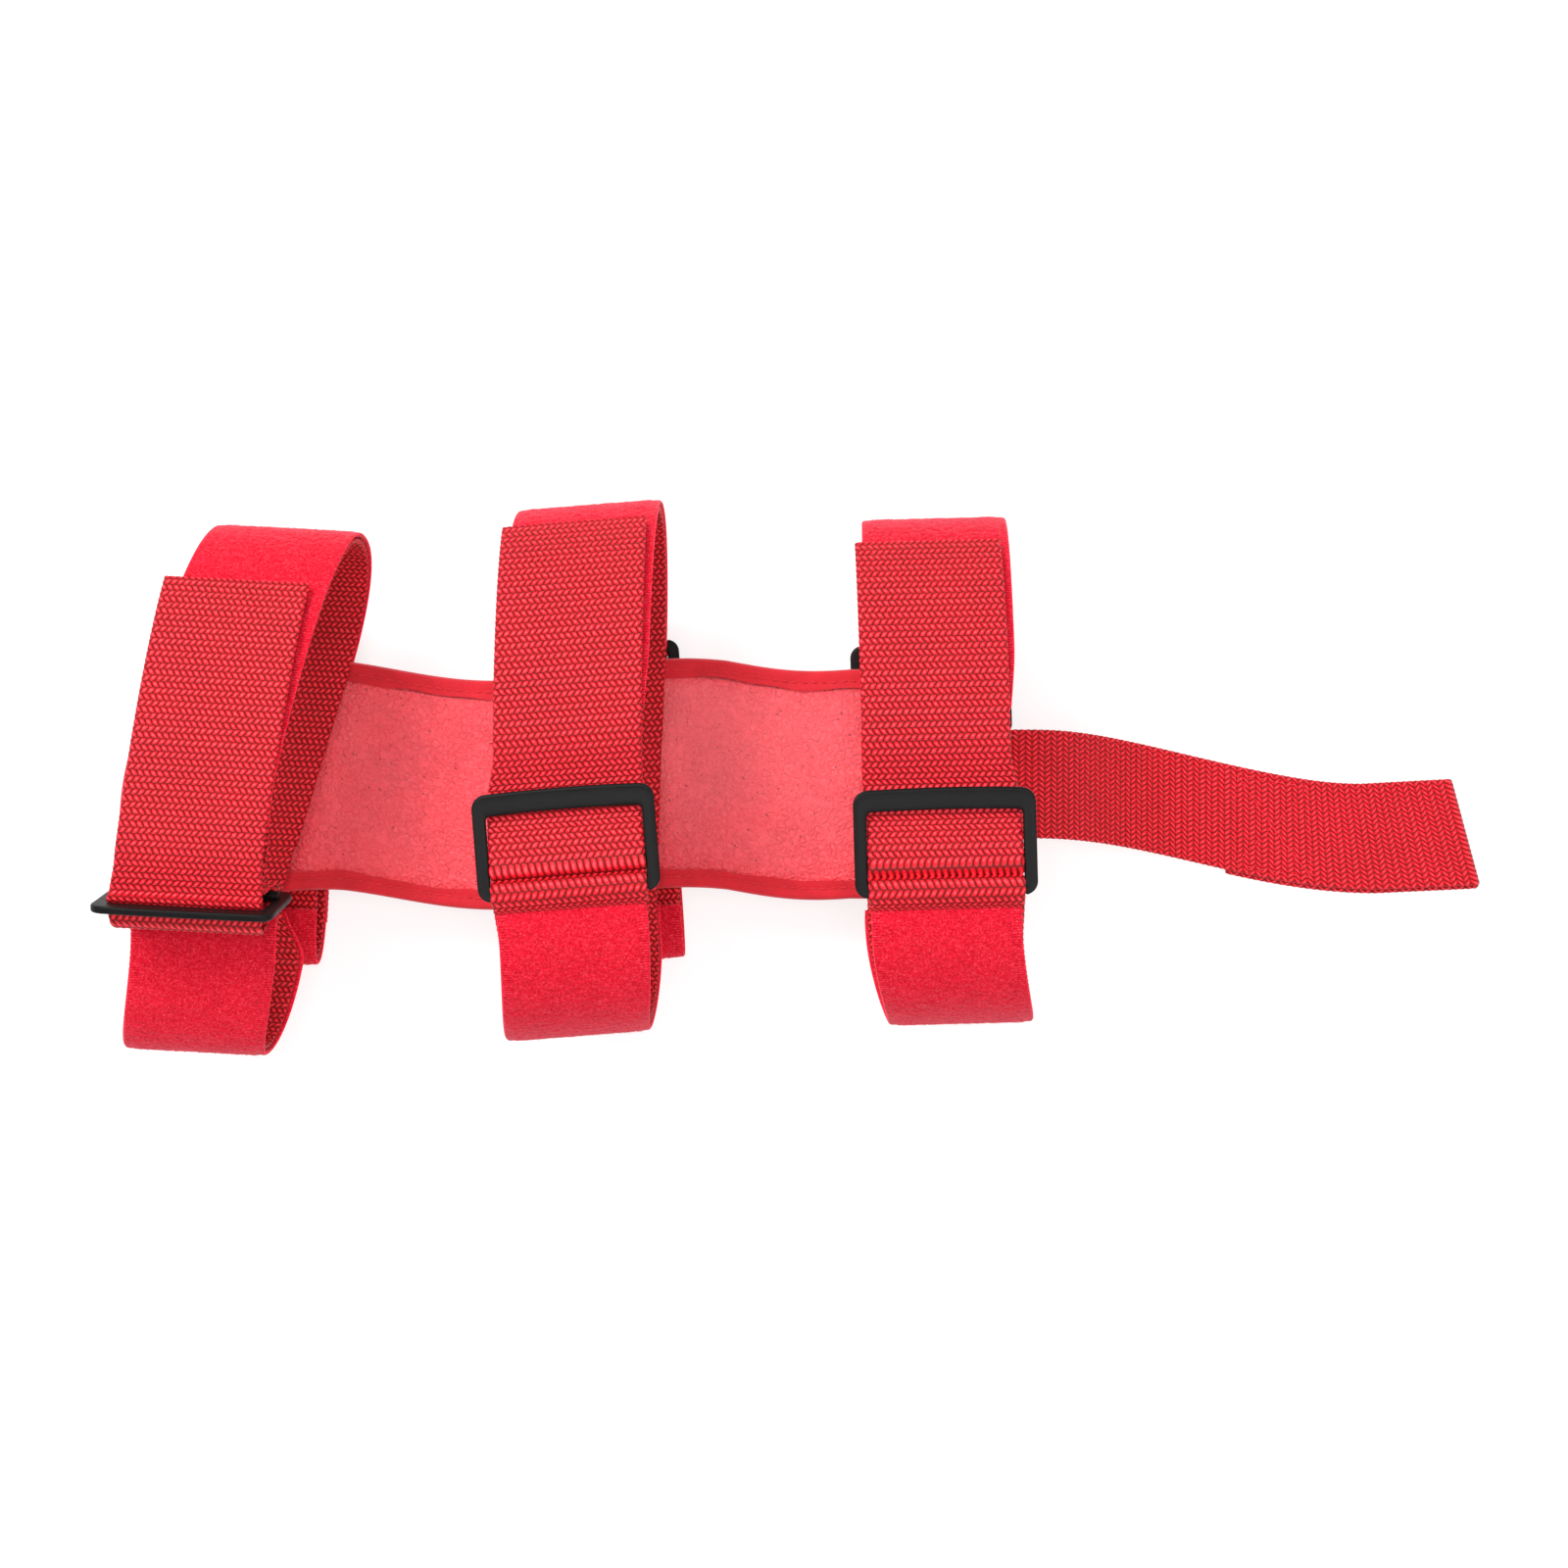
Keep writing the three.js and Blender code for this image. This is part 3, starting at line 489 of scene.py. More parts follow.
def plastic_look():
    """Black moulded plastic: fine spark-eroded grain, a little paler and rougher where it is worn."""
    look = Look("moulded_plastic", 0.45, 0.14)
    place = look.thread()[0]
    wear = look.noise(place, 0.12, 5.0, 0.7)
    grain = look.noise(place, 3.5, 2.0)
    colour = look.ramp(wear, (0.35, (0.004, 0.0036, 0.0036)), (0.8, (0.010, 0.009, 0.009)))
    look.set(look.shader, "Roughness", look.spread(wear, 0.36, 0.55))
    return look.finish(colour, look.bump(grain, 0.00006, 0.5))


def felt_look():
    look = Look("padding_felt", 0.95, 0.1)
    place = look.thread()[0]
    tufts = look.noise(place, 0.9, 4.0, 0.75)
    colour = look.ramp(tufts, (0.3, (0.45, 0.43, 0.40)), (0.7, (0.74, 0.72, 0.68)))
    return look.finish(colour, look.bump(tufts, 0.0006, 0.8))


# the webbing's colours: painted shade in the gaps, the dyed red, and a painted highlight on the yarns' tops
WEBBING = webbing_look(
    "webbing", *WEAVE.values(), (0.20, 0.0006, 0.003), (0.90, 0.005, 0.018), (1.0, 0.075, 0.105)
)
NECK_WEBBING = webbing_look(
    "neck_webbing", *CHEVRON.values(), (0.30, 0.001, 0.005), (0.96, 0.006, 0.020), (1.0, 0.060, 0.090)
)
PILE = pile_look()
FIBRE = fibre_look()
HOOK = hook_look()
BINDING = cloth_look("binding_cloth", (0.60, 0.008, 0.020), (0.74, 0.016, 0.032), 0.7)
THREAD = cloth_look("thread", (0.62, 0.010, 0.022), (0.86, 0.030, 0.045), 0.5, 0.5, 0.3)
LINING = cloth_look("lining_cloth", (0.34, 0.004, 0.010), (0.52, 0.008, 0.018), 0.9)
FELT = felt_look()
LEATHER = leatherette_look()
PLASTIC = plastic_look()


# ---------------- strap layout, as in the CAD
class Loop:
    """Side view of one loop: u along the strap, v out of the panel, in millimetres."""

    def __init__(self, name, side, slide, loop, tail):
        self.name, self.side = name, side
        self.x, yaw, bar, tilt = slide
        self.low_end, self.high_end, self.shift, turn, self.lean = loop
        self.tail_reach, self.tail_shift, tail_turn = tail
        self.yaw = math.radians(yaw)
        self.slant, self.tail_slant = (math.tan(math.radians(a)) for a in (turn, tail_turn))
        height = FRONT_LOOP_HEIGHT if side > 0 else REAR_LOOP_HEIGHT
        self.upright = tilt > 45
        tilt = math.radians(tilt)
        self.along = np.array([math.cos(tilt), math.sin(tilt)])
        self.front = np.array([-math.sin(tilt), math.cos(tilt)])
        middle = SLIDE_TOP - SLIDE_TOP_BAR / 2
        self.hold = LOWER_RADIUS + LOWER_CLEARANCE
        drop = middle * self.along[1] if self.upright else 0
        self.lower_bar = np.array([bar, height + self.hold - drop])
        self.top_bar = self.on_slide(middle)
        self.centre_bar = self.on_slide(SLIDE_CENTRE_BAR, -CENTRE_BAR_DROP)
        bar_half = (SLIDE_TOP_BAR if self.upright else SLIDE_THICK) / 2
        self.level = self.top_bar[1] - bar_half - GAP - WEB_THICK - GAP
        self.start = self.top_bar[0] + STRAP_START
        # how far from the middle line the whole width of a turned tape is past the panel's edge
        corner = (PILE_WIDTH / 2 + 10) * abs(math.sin(self.yaw))
        self.clear = (PANEL_WIDTH / 2 + corner) / math.cos(self.yaw) + 1

    def on_slide(self, distance, out=0.0):
        return self.lower_bar + self.along * distance + self.front * out

    def tail_drift(self, u, v):
        """How far the tail lies off the slide's centre line."""
        before, after = TAIL_FADE
        share = smooth(u, self.top_bar[0] - before, self.top_bar[0] + after)
        return share * (self.tail_shift - u * self.tail_slant)

    def loop_drift(self, u, v):
        """How far the loop lies off the slide's centre line, twisting from its sewn line to the tail's."""
        sewn = self.shift - u * self.slant
        low = np.clip(1 - v / (self.lower_bar[1] - self.hold), 0, 1)
        straight = smooth(u, -SEWN_HALF - LOW_TWIST_RUN, -SEWN_HALF)
        low_drift = low * straight * sewn + 4 * low * (1 - low) * self.lean
        at_top = TOP_TWIST * smooth(u, self.start, self.start + TOP_TWIST_RUN)
        high = 1 + (at_top - 1) * np.clip(v / self.level, 0, 1)
        tail = self.tail_drift(u, v)
        return np.where(u < self.start, low_drift, tail + (sewn - tail) * high)

    def spread(self, u, v):
        """How much wider the webbing is in the slide, fading before the lower bar, past the top bar and
        under the slide."""
        on_slide = smooth(u, self.lower_bar[0] - 20, self.lower_bar[0] - 4)
        on_slide *= 1 - smooth(u, self.top_bar[0] + 2, self.top_bar[0] + 16)
        under = self.lower_bar[1] - self.hold
        return 1 + SQUEEZE * on_slide * smooth(v, under - 8, under - 1)

    def puckered(self, u, v):
        """The extra thickness of the webbing, only where it turns round the centre bar."""
        near = 1 - smooth(np.abs(u - self.centre_bar[0]), 2, 6)
        return PUCKER * near * smooth(-u, -self.centre_bar[0], 1 - self.centre_bar[0])

    def tab(self):
        """The sewn-down end, over the lower bar and back under it to the loop's shoulder."""
        x, y = self.lower_bar
        under, over = y - self.hold, y + self.hold
        return line_path(
            level_bend((x - TAB_LENGTH, under + TAB_LIFT), (x, over), TAB_LEAVING, TAB_ARRIVING),
            half_turn(x, over, under, self.hold),
            ((x, under), (x - TAB_LENGTH, under)),
        )

    def bend(self):
        """From the shoulder out round the low end and in to the panel."""
        under = self.lower_bar[1] - self.hold
        shoulder, reach, waist = self.lower_bar[0] - TAB_LENGTH, -self.low_end, under * WAIST
        foot = -(SEWN_HALF + (self.low_end - SEWN_HALF) * SHOULDER)
        return line_path(
            (
                (shoulder, under),
                (shoulder + (reach - shoulder) * CROWN, under),
                (reach, waist + (under - waist) * SHOULDER),
                (reach, waist),
            ),
            ((reach, waist), (reach, waist * FOOT), (foot, GAP), (-SEWN_HALF, GAP)),
        )

    def upper(self):
        """Off the panel, round the high end and back along the top to the slide."""
        front = self.side > 0
        crest = self.level if front else BACK_Z - GROUND_Z - TAIL_LIFT - WEB_THICK
        crest_end = self.start if front else REAR_FLAT_FROM
        waist, reach = crest * WAIST, self.high_end
        foot = SEWN_HALF + (reach - SEWN_HALF) * SHOULDER
        pieces = [
            ((SEWN_HALF, GAP), (foot, GAP), (reach, waist * FOOT), (reach, waist)),
            (
                (reach, waist),
                (reach, waist + (crest - waist) * SHOULDER),
                (crest_end + (reach - crest_end) * CROWN, crest),
                (crest_end, crest),
            ),
        ]
        if not front:
            dip_start, dip_end = (self.start + REAR_DIP, crest), (self.start + REAR_LEVEL_RUN, self.level)
            third = (dip_end[0] - dip_start[0]) / 3
            pieces += [
                ((crest_end, crest), dip_start),
                level_bend(dip_start, dip_end, third, third),
                (dip_end, (self.start, self.level)),
            ]
        return line_path(*pieces)

    def fold(self):
        """From the tail, under the top bar, round the centre bar and back to the loop's own end."""
        (cx, cy), tx = self.centre_bar, self.top_bar[0]
        hold = CENTRE_RADIUS + CENTRE_CLEARANCE
        dip, level = self.level + GAP, self.level
        tail_start, loop_start = (self.start, level + TAIL_LIFT), (self.start, level)
        if self.upright:
            over, joined = (tx + 2, dip), (tx + 9, level)
            inner, outer = (cx + hold, cy), (cx - hold, cy)
            turn = hold * HALF_TURN
            return line_path(
                level_bend(tail_start, over, -SWING_LEG, -SWING_LEG),
                (over, (tx - SWING_OUTSIDE, dip - 1), (outer[0] - SWING_SIDEWAYS, dip - SWING_DOWN), outer),
                (outer, (outer[0], cy - turn), (inner[0], cy - turn), inner),
                (inner, (inner[0], cy + SWING_UP), (joined[0] - SWING_BACK, level), joined),
                (joined, loop_start),
            )
        bar_start = (self.on_slide(SLIDE_TOP)[0] + 0.5, dip)
        bar_end = (self.on_slide(SLIDE_TOP - SLIDE_TOP_BAR)[0] - 1, dip)
        return line_path(
            level_bend(tail_start, bar_start, -DROP_START, -DROP_LEG),
            (bar_start, bar_end),
            level_bend(bar_end, (cx, cy + hold), -DROP_LEAVING, -DROP_ARRIVING),
            half_turn(cx, cy + hold, cy - hold, -hold),
            ((cx, cy - hold), (bar_end[0], level)),
            ((bar_end[0], level), loop_start),
        )

    def place(self, across, u, v):
        """The part's own millimetres of a point given across the strap, along it and out of the panel."""
        y, z = u * self.side, v * self.side
        c, s = math.cos(self.yaw), math.sin(self.yaw)
        base = FRONT_Z if self.side > 0 else BACK_Z
        return np.stack(np.broadcast_arrays(self.x + across * c - y * s, across * s + y * c, base + z), -1)

    def spot(self, u, v):
        """One point on the slide's centre line, in metres."""
        return tuple(float(value) for value in self.place(0.0, u, v) * MM)


def zero(u, v):
    return np.zeros_like(u)


def one(u, v):
    return np.ones_like(u)


def brushed(shape, flat_edge, seed):
    """Height 0 to 1 of pile: fine tufts and clumps, flattened along the tape's woven edges."""
    tufts = soft_noise(shape, 2, seed)
    clumps = soft_noise(shape, 6, seed + 10)
    return np.clip(PILE_LEVEL + PILE_TUFTS * tufts + PILE_CLUMPS * clumps, 0, 1) * (1 - 0.5 * flat_edge)


def strap_solid(name, loop, line, low, high, width, look, drift=zero, spread=one, bulk=zero, dent=None,
                weave=WEAVE, relief=WEAVE_RELIEF, phase=0.0, start=0.0, end=None, fuzz_seed=None):
    """A strap along a line in a loop's side view, its two faces raised by a woven or brushed relief.

    `drift` moves it sideways, `spread` widens it and `bulk` thickens it, each by its place in the side
    view. `phase` carries the weave on from the piece before. A `fuzz_seed` makes it pile, not webbing."""
    points, s = resample(line, GRID, start, end)
    normal = outward(points)
    x = np.linspace(-width / 2, width / 2, int(round(width / GRID)) + 1)
    ss, xx = np.meshgrid(s + phase, x, indexing="ij")
    inset = np.clip((width / 2 - np.abs(xx)) / EDGE_RADIUS, 0, 1)
    body = EDGE_SHARE + (1 - EDGE_SHARE) * np.sqrt(1 - (1 - inset) ** 2)
    if fuzz_seed is None:
        heights = [woven(xx, ss + face * weave["row"], **weave) for face in (0, 1)]
    else:
        flat_edge = smooth(np.abs(xx), width / 2 - SELVEDGE, width / 2 - SELVEDGE + 1)
        heights = [brushed(ss.shape, flat_edge, fuzz_seed + face) for face in (0, 1)]
    if dent is not None:
        pressed = dent(xx, points[:, :1])
        heights = [np.clip(height - pressed, -1, 1) for height in heights]
    middle, half = (low + high) / 2, (high - low) / 2
    extra = bulk(points[:, :1], points[:, 1:])
    outs = (
        middle + body * (half - relief * (1 - heights[0])) + extra,
        middle - body * (half - relief * (1 - heights[1])),
    )
    scallop = 0.0 if fuzz_seed is not None else EDGE_SCALLOP
    pinch = scallop * (1 - inset) * (np.abs(np.sin(np.pi * ss / weave["row"])) - 1)
    across = xx + np.sign(xx) * pinch

    def surface(out):
        u = points[:, :1] + normal[:, :1] * out
        v = points[:, 1:] + normal[:, 1:] * out
        return loop.place(across * spread(u, v) + drift(u, v), u, v)

    ring = np.concatenate([surface(outs[0]), surface(outs[1])[:, ::-1]], 1)
    faces = [np.stack([xx, ss + face * weave["row"], heights[face]], -1) for face in (0, 1)]
    thread = np.concatenate([faces[0], faces[1][:, ::-1]], 1)
    return make_mesh(name, ring, ring_quads(len(points), 2 * len(x)), look, thread)


def pile_fibres(name, loop, line, start, end, density, seed):
    """Loose fibres standing out of a pile tape: thin curved blades, each leaning its own way."""
    points, s = resample(line, GRID, start, end)
    normal = outward(points)
    rng = np.random.default_rng(seed)
    reach = PILE_WIDTH / 2 - SELVEDGE + 0.4
    count = int((end - start) * 2 * reach * density)
    foot_s = rng.uniform(s[0] + 1, s[-1] - 1, count)[:, None, None]
    foot_x = rng.uniform(-reach, reach, count)[:, None, None]
    length = rng.uniform(FIBRE_SHORTEST, FIBRE_LONGEST, count)[:, None, None]
    lean_x, lean_s = rng.normal(0, FIBRE_LEAN, (2, count))[..., None, None]
    angle = rng.uniform(0, math.pi, count)[:, None, None]
    t = np.linspace(0, 1, 4)[None, :, None]
    edge = np.array([-1.0, 1.0])[None, None, :] * FIBRE_HALF_WIDTH * (1.15 - t)
    x = foot_x + lean_x * length * t**2 + edge * np.cos(angle)
    along = foot_s + lean_s * length * t**2 + edge * np.sin(angle)
    out = PILE_LIFT + PILE_THICK - FIBRE_ROOT + length * (t - FIBRE_CURL * t**2)
    u, v, out_u, out_v = (
        np.interp(along, s, values) for values in (points[:, 0], points[:, 1], normal[:, 0], normal[:, 1])
    )
    u, v = u + out_u * out, v + out_v * out
    blades = loop.place(x + loop.loop_drift(u, v), u, v)
    first = (np.arange(count) * 8)[:, None, None] + (np.arange(3) * 2)[None, :, None]
    quads = first + np.array([0, 1, 3, 2])
    thread = np.stack([x, along, np.broadcast_to(t, x.shape)], -1)
    return make_mesh(name, blades, quads, FIBRE, thread)


# ---------------- slides
def slide_outline(half, top, bottom, radius, bow):
    """Rounded outline of the slide's frame or its opening, the top edge bowed, with the same points in
    each corner and side so that two of them match."""
    arcs = corner_arcs(half, top, bottom, radius, 9)
    shares = np.linspace(0, 1, 15)[1:-1, None]
    outline = []
    for arc, following in zip(arcs, arcs[1:] + arcs[:1]):
        outline += [arc, arc[-1] + (following[0] - arc[-1]) * shares]
    outline = np.vstack(outline)
    bowed = (1 - (outline[:, 0] / half) ** 2) * bow
    outline[:, 1] += np.where(outline[:, 1] > SLIDE_TOP / 2, bowed, 0)
    return outline


def slide_body(loop):
    """The moulded frame with softly rounded edges, and its centre bar sunk below it."""
    outer = slide_outline(SLIDE_WIDTH / 2, SLIDE_TOP - SLIDE_BOW, SLIDE_BOTTOM, SLIDE_CORNER, SLIDE_BOW)
    opening_top = SLIDE_TOP - SLIDE_TOP_BAR
    inner = slide_outline(OPENING_HALF, opening_top, OPENING_BOTTOM, OPENING_CORNER, OPENING_BOW)
    under_tab = (outer[:, 1] < 0) & (np.abs(outer[:, 0]) < SLIDE_OPENING / 2)
    outer[under_tab, 1] = -LOWER_RADIUS
    turn = full_turn(40)
    c, s = np.cos(turn), np.sin(turn)
    across = 0.5 + 0.5 * np.sign(c) * np.abs(c) ** FRAME_SQUARENESS
    thick = SLIDE_MOULDED / 2 * np.sign(s) * np.abs(s) ** FRAME_SQUARENESS
    flat = inner[:, None] + (outer - inner)[:, None] * across[None, :, None]
    rim = RIM_HEIGHT * np.exp(-(((across - RIM_PLACE) / RIM_WIDTH) ** 2)) * (thick > 0)
    height = np.broadcast_to((thick + rim)[None, :, None], (*flat.shape[:2], 1))
    frame = np.concatenate([flat, height], 2).reshape(-1, 3)

    # the centre bar: a rod whose ends run into the frame
    stations = np.array([-1.0, -0.999, 0.999, 1.0])[:, None] * (SLIDE_OPENING / 2 + 1.5)
    grow = np.array([0.02, 1, 1, 0.02])[:, None]
    angle = full_turn(24)
    rod_y = SLIDE_CENTRE_BAR + CENTRE_RADIUS * np.cos(angle) * grow
    rod_z = -CENTRE_BAR_DROP + CENTRE_RADIUS * np.sin(angle) * grow
    rod = np.stack(np.broadcast_arrays(stations, rod_y, rod_z), -1).reshape(-1, 3)
    quads = np.vstack([closed_quads(len(outer), len(turn)), ring_quads(4, 24)[:, ::-1] + len(frame)])
    local = np.vstack([frame, rod])
    u = loop.lower_bar[0] + loop.along[0] * local[:, 1] + loop.front[0] * local[:, 2]
    v = loop.lower_bar[1] + loop.along[1] * local[:, 1] + loop.front[1] * local[:, 2]
    placed = loop.place(local[:, 0], u, v)
    return make_mesh(f"{loop.name}_slide_body", placed, quads, PLASTIC, local)


# ---------------- one strap
def build_strap(loop, seed):
    name, panel = loop.name, "panel"
    tab, bend, upper, fold = loop.tab(), loop.bend(), loop.upper(), loop.fold()
    whole = np.vstack([tab, bend[1:], upper])
    upper_length, bend_length = distances(upper)[-1], distances(bend)[-1]
    joined = distances(whole)[-1] - upper_length

    web = strap_solid(
        f"{name}_loop", loop, whole, -WEB_THICK, 0, WEB_WIDTH, WEBBING, loop.loop_drift, loop.spread
    )
    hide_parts(f"{name}_loop_webbing")
    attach(web, panel)

    pile_low, pile_high = 0.05, PILE_LIFT + PILE_THICK + 0.2
    ends = {
        "upper": (upper, reach_distance(upper, loop.clear), upper_length - PILE_SHORT),
        "lower": (bend, 0.1, bend_length - reach_distance(bend[::-1], loop.clear)),
    }
    for label, (line, start, end) in ends.items():
        tape = strap_solid(
            f"{name}_pile_{label}_tape", loop, line, pile_low, pile_high, PILE_WIDTH, PILE, loop.loop_drift,
            relief=PILE_FUZZ, start=start, end=end, fuzz_seed=seed + TAPE_SEED[label],
        )
        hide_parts(f"{name}_pile_{label}")
        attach(tape, panel)

    tail_from = upper_length - reach_distance(upper[::-1], loop.tail_reach)
    showing = {"upper": (upper, ends["upper"][1], tail_from - 1), "lower": (bend, 3.0, ends["lower"][2])}
    for label, (line, start, end) in showing.items():
        density = FIBRE_DENSITY[loop.side]
        fuzz = pile_fibres(f"{name}_fuzz_{label}", loop, line, start, end, density, seed + FIBRE_SEED)
        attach(fuzz, panel)

    tail = strap_solid(
        f"{name}_tail", loop, upper, TAIL_LIFT, TAIL_LIFT + WEB_THICK, WEB_WIDTH, WEBBING, loop.tail_drift,
        loop.spread, start=tail_from, phase=joined,
    )
    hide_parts(f"{name}_tail_webbing")
    hook = strap_solid(
        f"{name}_hook", loop, upper, HOOK_LIFT - 0.1, TAIL_LIFT + 0.1, HOOK_WIDTH, HOOK, loop.tail_drift,
        relief=HOOK_RELIEF, start=tail_from + HOOK_INSET, end=upper_length - HOOK_SHORT,
        fuzz_seed=seed + HOOK_SEED,
    )
    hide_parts(f"{name}_tail_hook")
    folded = strap_solid(
        f"{name}_fold", loop, fold, 0, WEB_THICK, WEB_WIDTH, WEBBING, loop.tail_drift, loop.spread,
        loop.puckered, phase=joined + upper_length,
    )
    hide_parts(f"{name}_fold_webbing")

    top = loop.level + TAIL_LIFT
    root = loop.spot(loop.start, top)
    for piece in (tail, hook):
        loop.spot(loop.start + BLEND_RUN, top)
        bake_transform(piece)
    loop.spot(loop.top_bar[0] + 4, top)
    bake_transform(folded)

    body = slide_body(loop)
    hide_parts(f"{name}_slide")
    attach(body, f"{name}_slide")


# ---------------- panel
PANEL_MIDDLE = (PANEL_LEFT + PANEL_RIGHT) / 2
PANEL_HALF = (PANEL_RIGHT - PANEL_LEFT) / 2
CREEP, CREEP_WAVE = 4.1, 142.0
CREEP_START, CREEP_RISE, CREEP_END, CREEP_FADE = 150.0, 60.0, 50.0, 45.0
SAG, BAY = 2.2, 124.0  # how deep the panel sags between two straps, and how far apart they are
PANEL_CORNER = 2.0
STITCH_INSET, STITCH_DEPTH = 4.4, 0.3  # of the binding's running stitch, in from the edge and into the tape


def panel_point(x, y, z):
    """Where the soft panel really lies: it creeps sideways between its straps and sags a little there."""
    fade = np.clip(1 - (x - CREEP_END) / CREEP_FADE, 0, 1) * np.clip((x + CREEP_START) / CREEP_RISE, 0, 1)
    creep = CREEP * np.sin(2 * np.pi * x / CREEP_WAVE) * fade
    sag = -SAG * np.sin(np.pi * np.clip(np.abs(x) / BAY, 0, 1)) ** 2
    return np.stack([x, y + creep, z + sag], -1)


def sheet(name, low, high, look, swell=0.0, spacing=1.0, texture=0.0):
    """A rectangular layer of the panel, its upper face swelling a little between the bound edges."""
    half_length = PANEL_HALF - BINDING_SKIN - GAP
    half_width = PANEL_WIDTH / 2 - BINDING_SKIN - GAP
    x = np.linspace(-half_length, half_length, int(2 * half_length / spacing) + 1) + PANEL_MIDDLE
    y = np.linspace(-half_width, half_width, int(2 * half_width / spacing) + 1)
    xx, yy = np.meshgrid(x, y, indexing="ij")
    ripple = soft_noise(xx.shape, 26, 90) * texture
    open_half = PANEL_WIDTH / 2 - BINDING_FLANGE + 1
    rise = swell * np.sqrt(np.clip(1 - (yy / open_half) ** 2, 0, 1)) + ripple
    top = panel_point(xx, yy, high + rise)
    bottom = panel_point(xx, yy, np.full_like(xx, low))
    ring = np.concatenate([top, bottom[:, ::-1]], 1)
    flat = np.stack([xx, yy, np.full_like(xx, 0.5)], -1)
    thread = np.concatenate([flat, flat[:, ::-1]], 1)
    return make_mesh(name, ring, ring_quads(len(x), 2 * len(y)), look, thread)


def binding_perimeter():
    """The panel's outline with its small round corners, about its own middle, as evenly spaced points."""
    arcs = corner_arcs(PANEL_HALF, PANEL_WIDTH / 2, -PANEL_WIDTH / 2, PANEL_CORNER, 5)
    closed = np.vstack([*arcs, arcs[0][:1]])
    along = distances(closed)
    count = int(along[-1] * (1.2))
    s = np.arange(count) * along[-1] / count
    return np.stack([np.interp(s, along, closed[:, i]) for i in (0, 1)], 1), s


def binding_section():
    """The folded tape's section: how far in from the panel's edge, and how far up or down."""
    half, skin, flange = PANEL_STACK / 2, BINDING_SKIN, BINDING_FLANGE
    edge_turn = np.radians(np.linspace(-90, 90, 13))

    def run(low, high, count, z):
        return [(flange * share, z) for share in np.linspace(low, high, count)]

    fold = [(1.5 - 1.5 * math.cos(a), half * math.sin(a)) for a in edge_turn]
    outside = run(1, 0.22, 8, -half) + fold + run(0.22, 1, 8, half)
    inner_fold = [(skin + 0.2, half - skin - 0.4), (skin + 0.2, skin + 0.4 - half)]
    inside = run(1, 0.3, 6, half - skin) + inner_fold + run(0.3, 1, 6, skin - half)
    return np.array(outside + inside)


def edge_binding():
    """Bias tape folded round the panel's edge, following its creep and sag, its lips a little wavy."""
    path, s = binding_perimeter()
    section = binding_section()
    lip = smooth(section[:, 0], 3, BINDING_FLANGE)
    wobble = 0.35 * np.sin(s / 9.0) + 0.25 * np.sin(s / 3.7 + 1)
    stitch_dip = np.exp(-(((section[:, 0] - STITCH_INSET) / 0.9) ** 2)) * STITCH_DEPTH
    puff = 0.12 * np.sin(2 * np.pi * s / STITCH_PITCH)
    inset = section[:, 0][None, :] + wobble[:, None] * lip[None, :]
    scale = 1 - inset[..., None] / [PANEL_HALF, PANEL_WIDTH / 2]
    plan = path[:, None, :] * scale
    side = np.sign(section[:, 1])
    height = (BACK_Z + FRONT_Z) / 2 + section[:, 1] - side * stitch_dip * (1 - puff[:, None])
    points = panel_point(plan[..., 0] + PANEL_MIDDLE, plan[..., 1], height)
    thread = np.stack(np.broadcast_arrays(inset, s[:, None], 0.5), -1)
    quads = closed_quads(len(path), len(section))[:, ::-1]
    made = make_mesh("edge_binding_tape", points, quads, BINDING, thread)
    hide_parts("edge_binding")
    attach(made, "panel")


def stitches(start, end, normal, place, sink=0.1):
    """Points and faces of a run of thread stitches lying in the cloth between two points."""
    start, end, normal = (np.array(v, float) for v in (start, end, normal))
    span = np.linalg.norm(end - start)
    ahead = (end - start) / span
    side = np.cross(normal, ahead)
    count = max(int(span / STITCH_PITCH), 1)
    rows, ring = 7, 8
    t = np.linspace(-1, 1, rows)
    bow = np.sqrt(1 - t**2)
    swell = (0.1 + 0.9 * bow)[:, None, None]
    angle = full_turn(ring)
    around = (np.cos(angle)[:, None] * side + np.sin(angle)[:, None] * normal) * THREAD_RADIUS
    centres = start + ahead * ((np.arange(count) + 0.5) * span / count)[:, None]
    lift = (bow - 0.6) * THREAD_RADIUS - sink
    stem = ahead * t[:, None] * STITCH_LENGTH / 2 + normal * lift[:, None]
    points = centres[:, None, None] + stem[None, :, None] + around[None, None] * swell[None]
    quads = ring_quads(rows, ring)[None] + (np.arange(count) * rows * ring)[:, None, None]
    return place(points.reshape(-1, 3)), quads.reshape(-1, 4)


def thread_mesh(name, runs):
    """One mesh from several runs of stitches."""
    firsts = np.cumsum([0] + [len(points) for points, _ in runs])
    quads = [run_quads + first for (_, run_quads), first in zip(runs, firsts)]
    return make_mesh(name, np.vstack([points for points, _ in runs]), np.vstack(quads), THREAD)


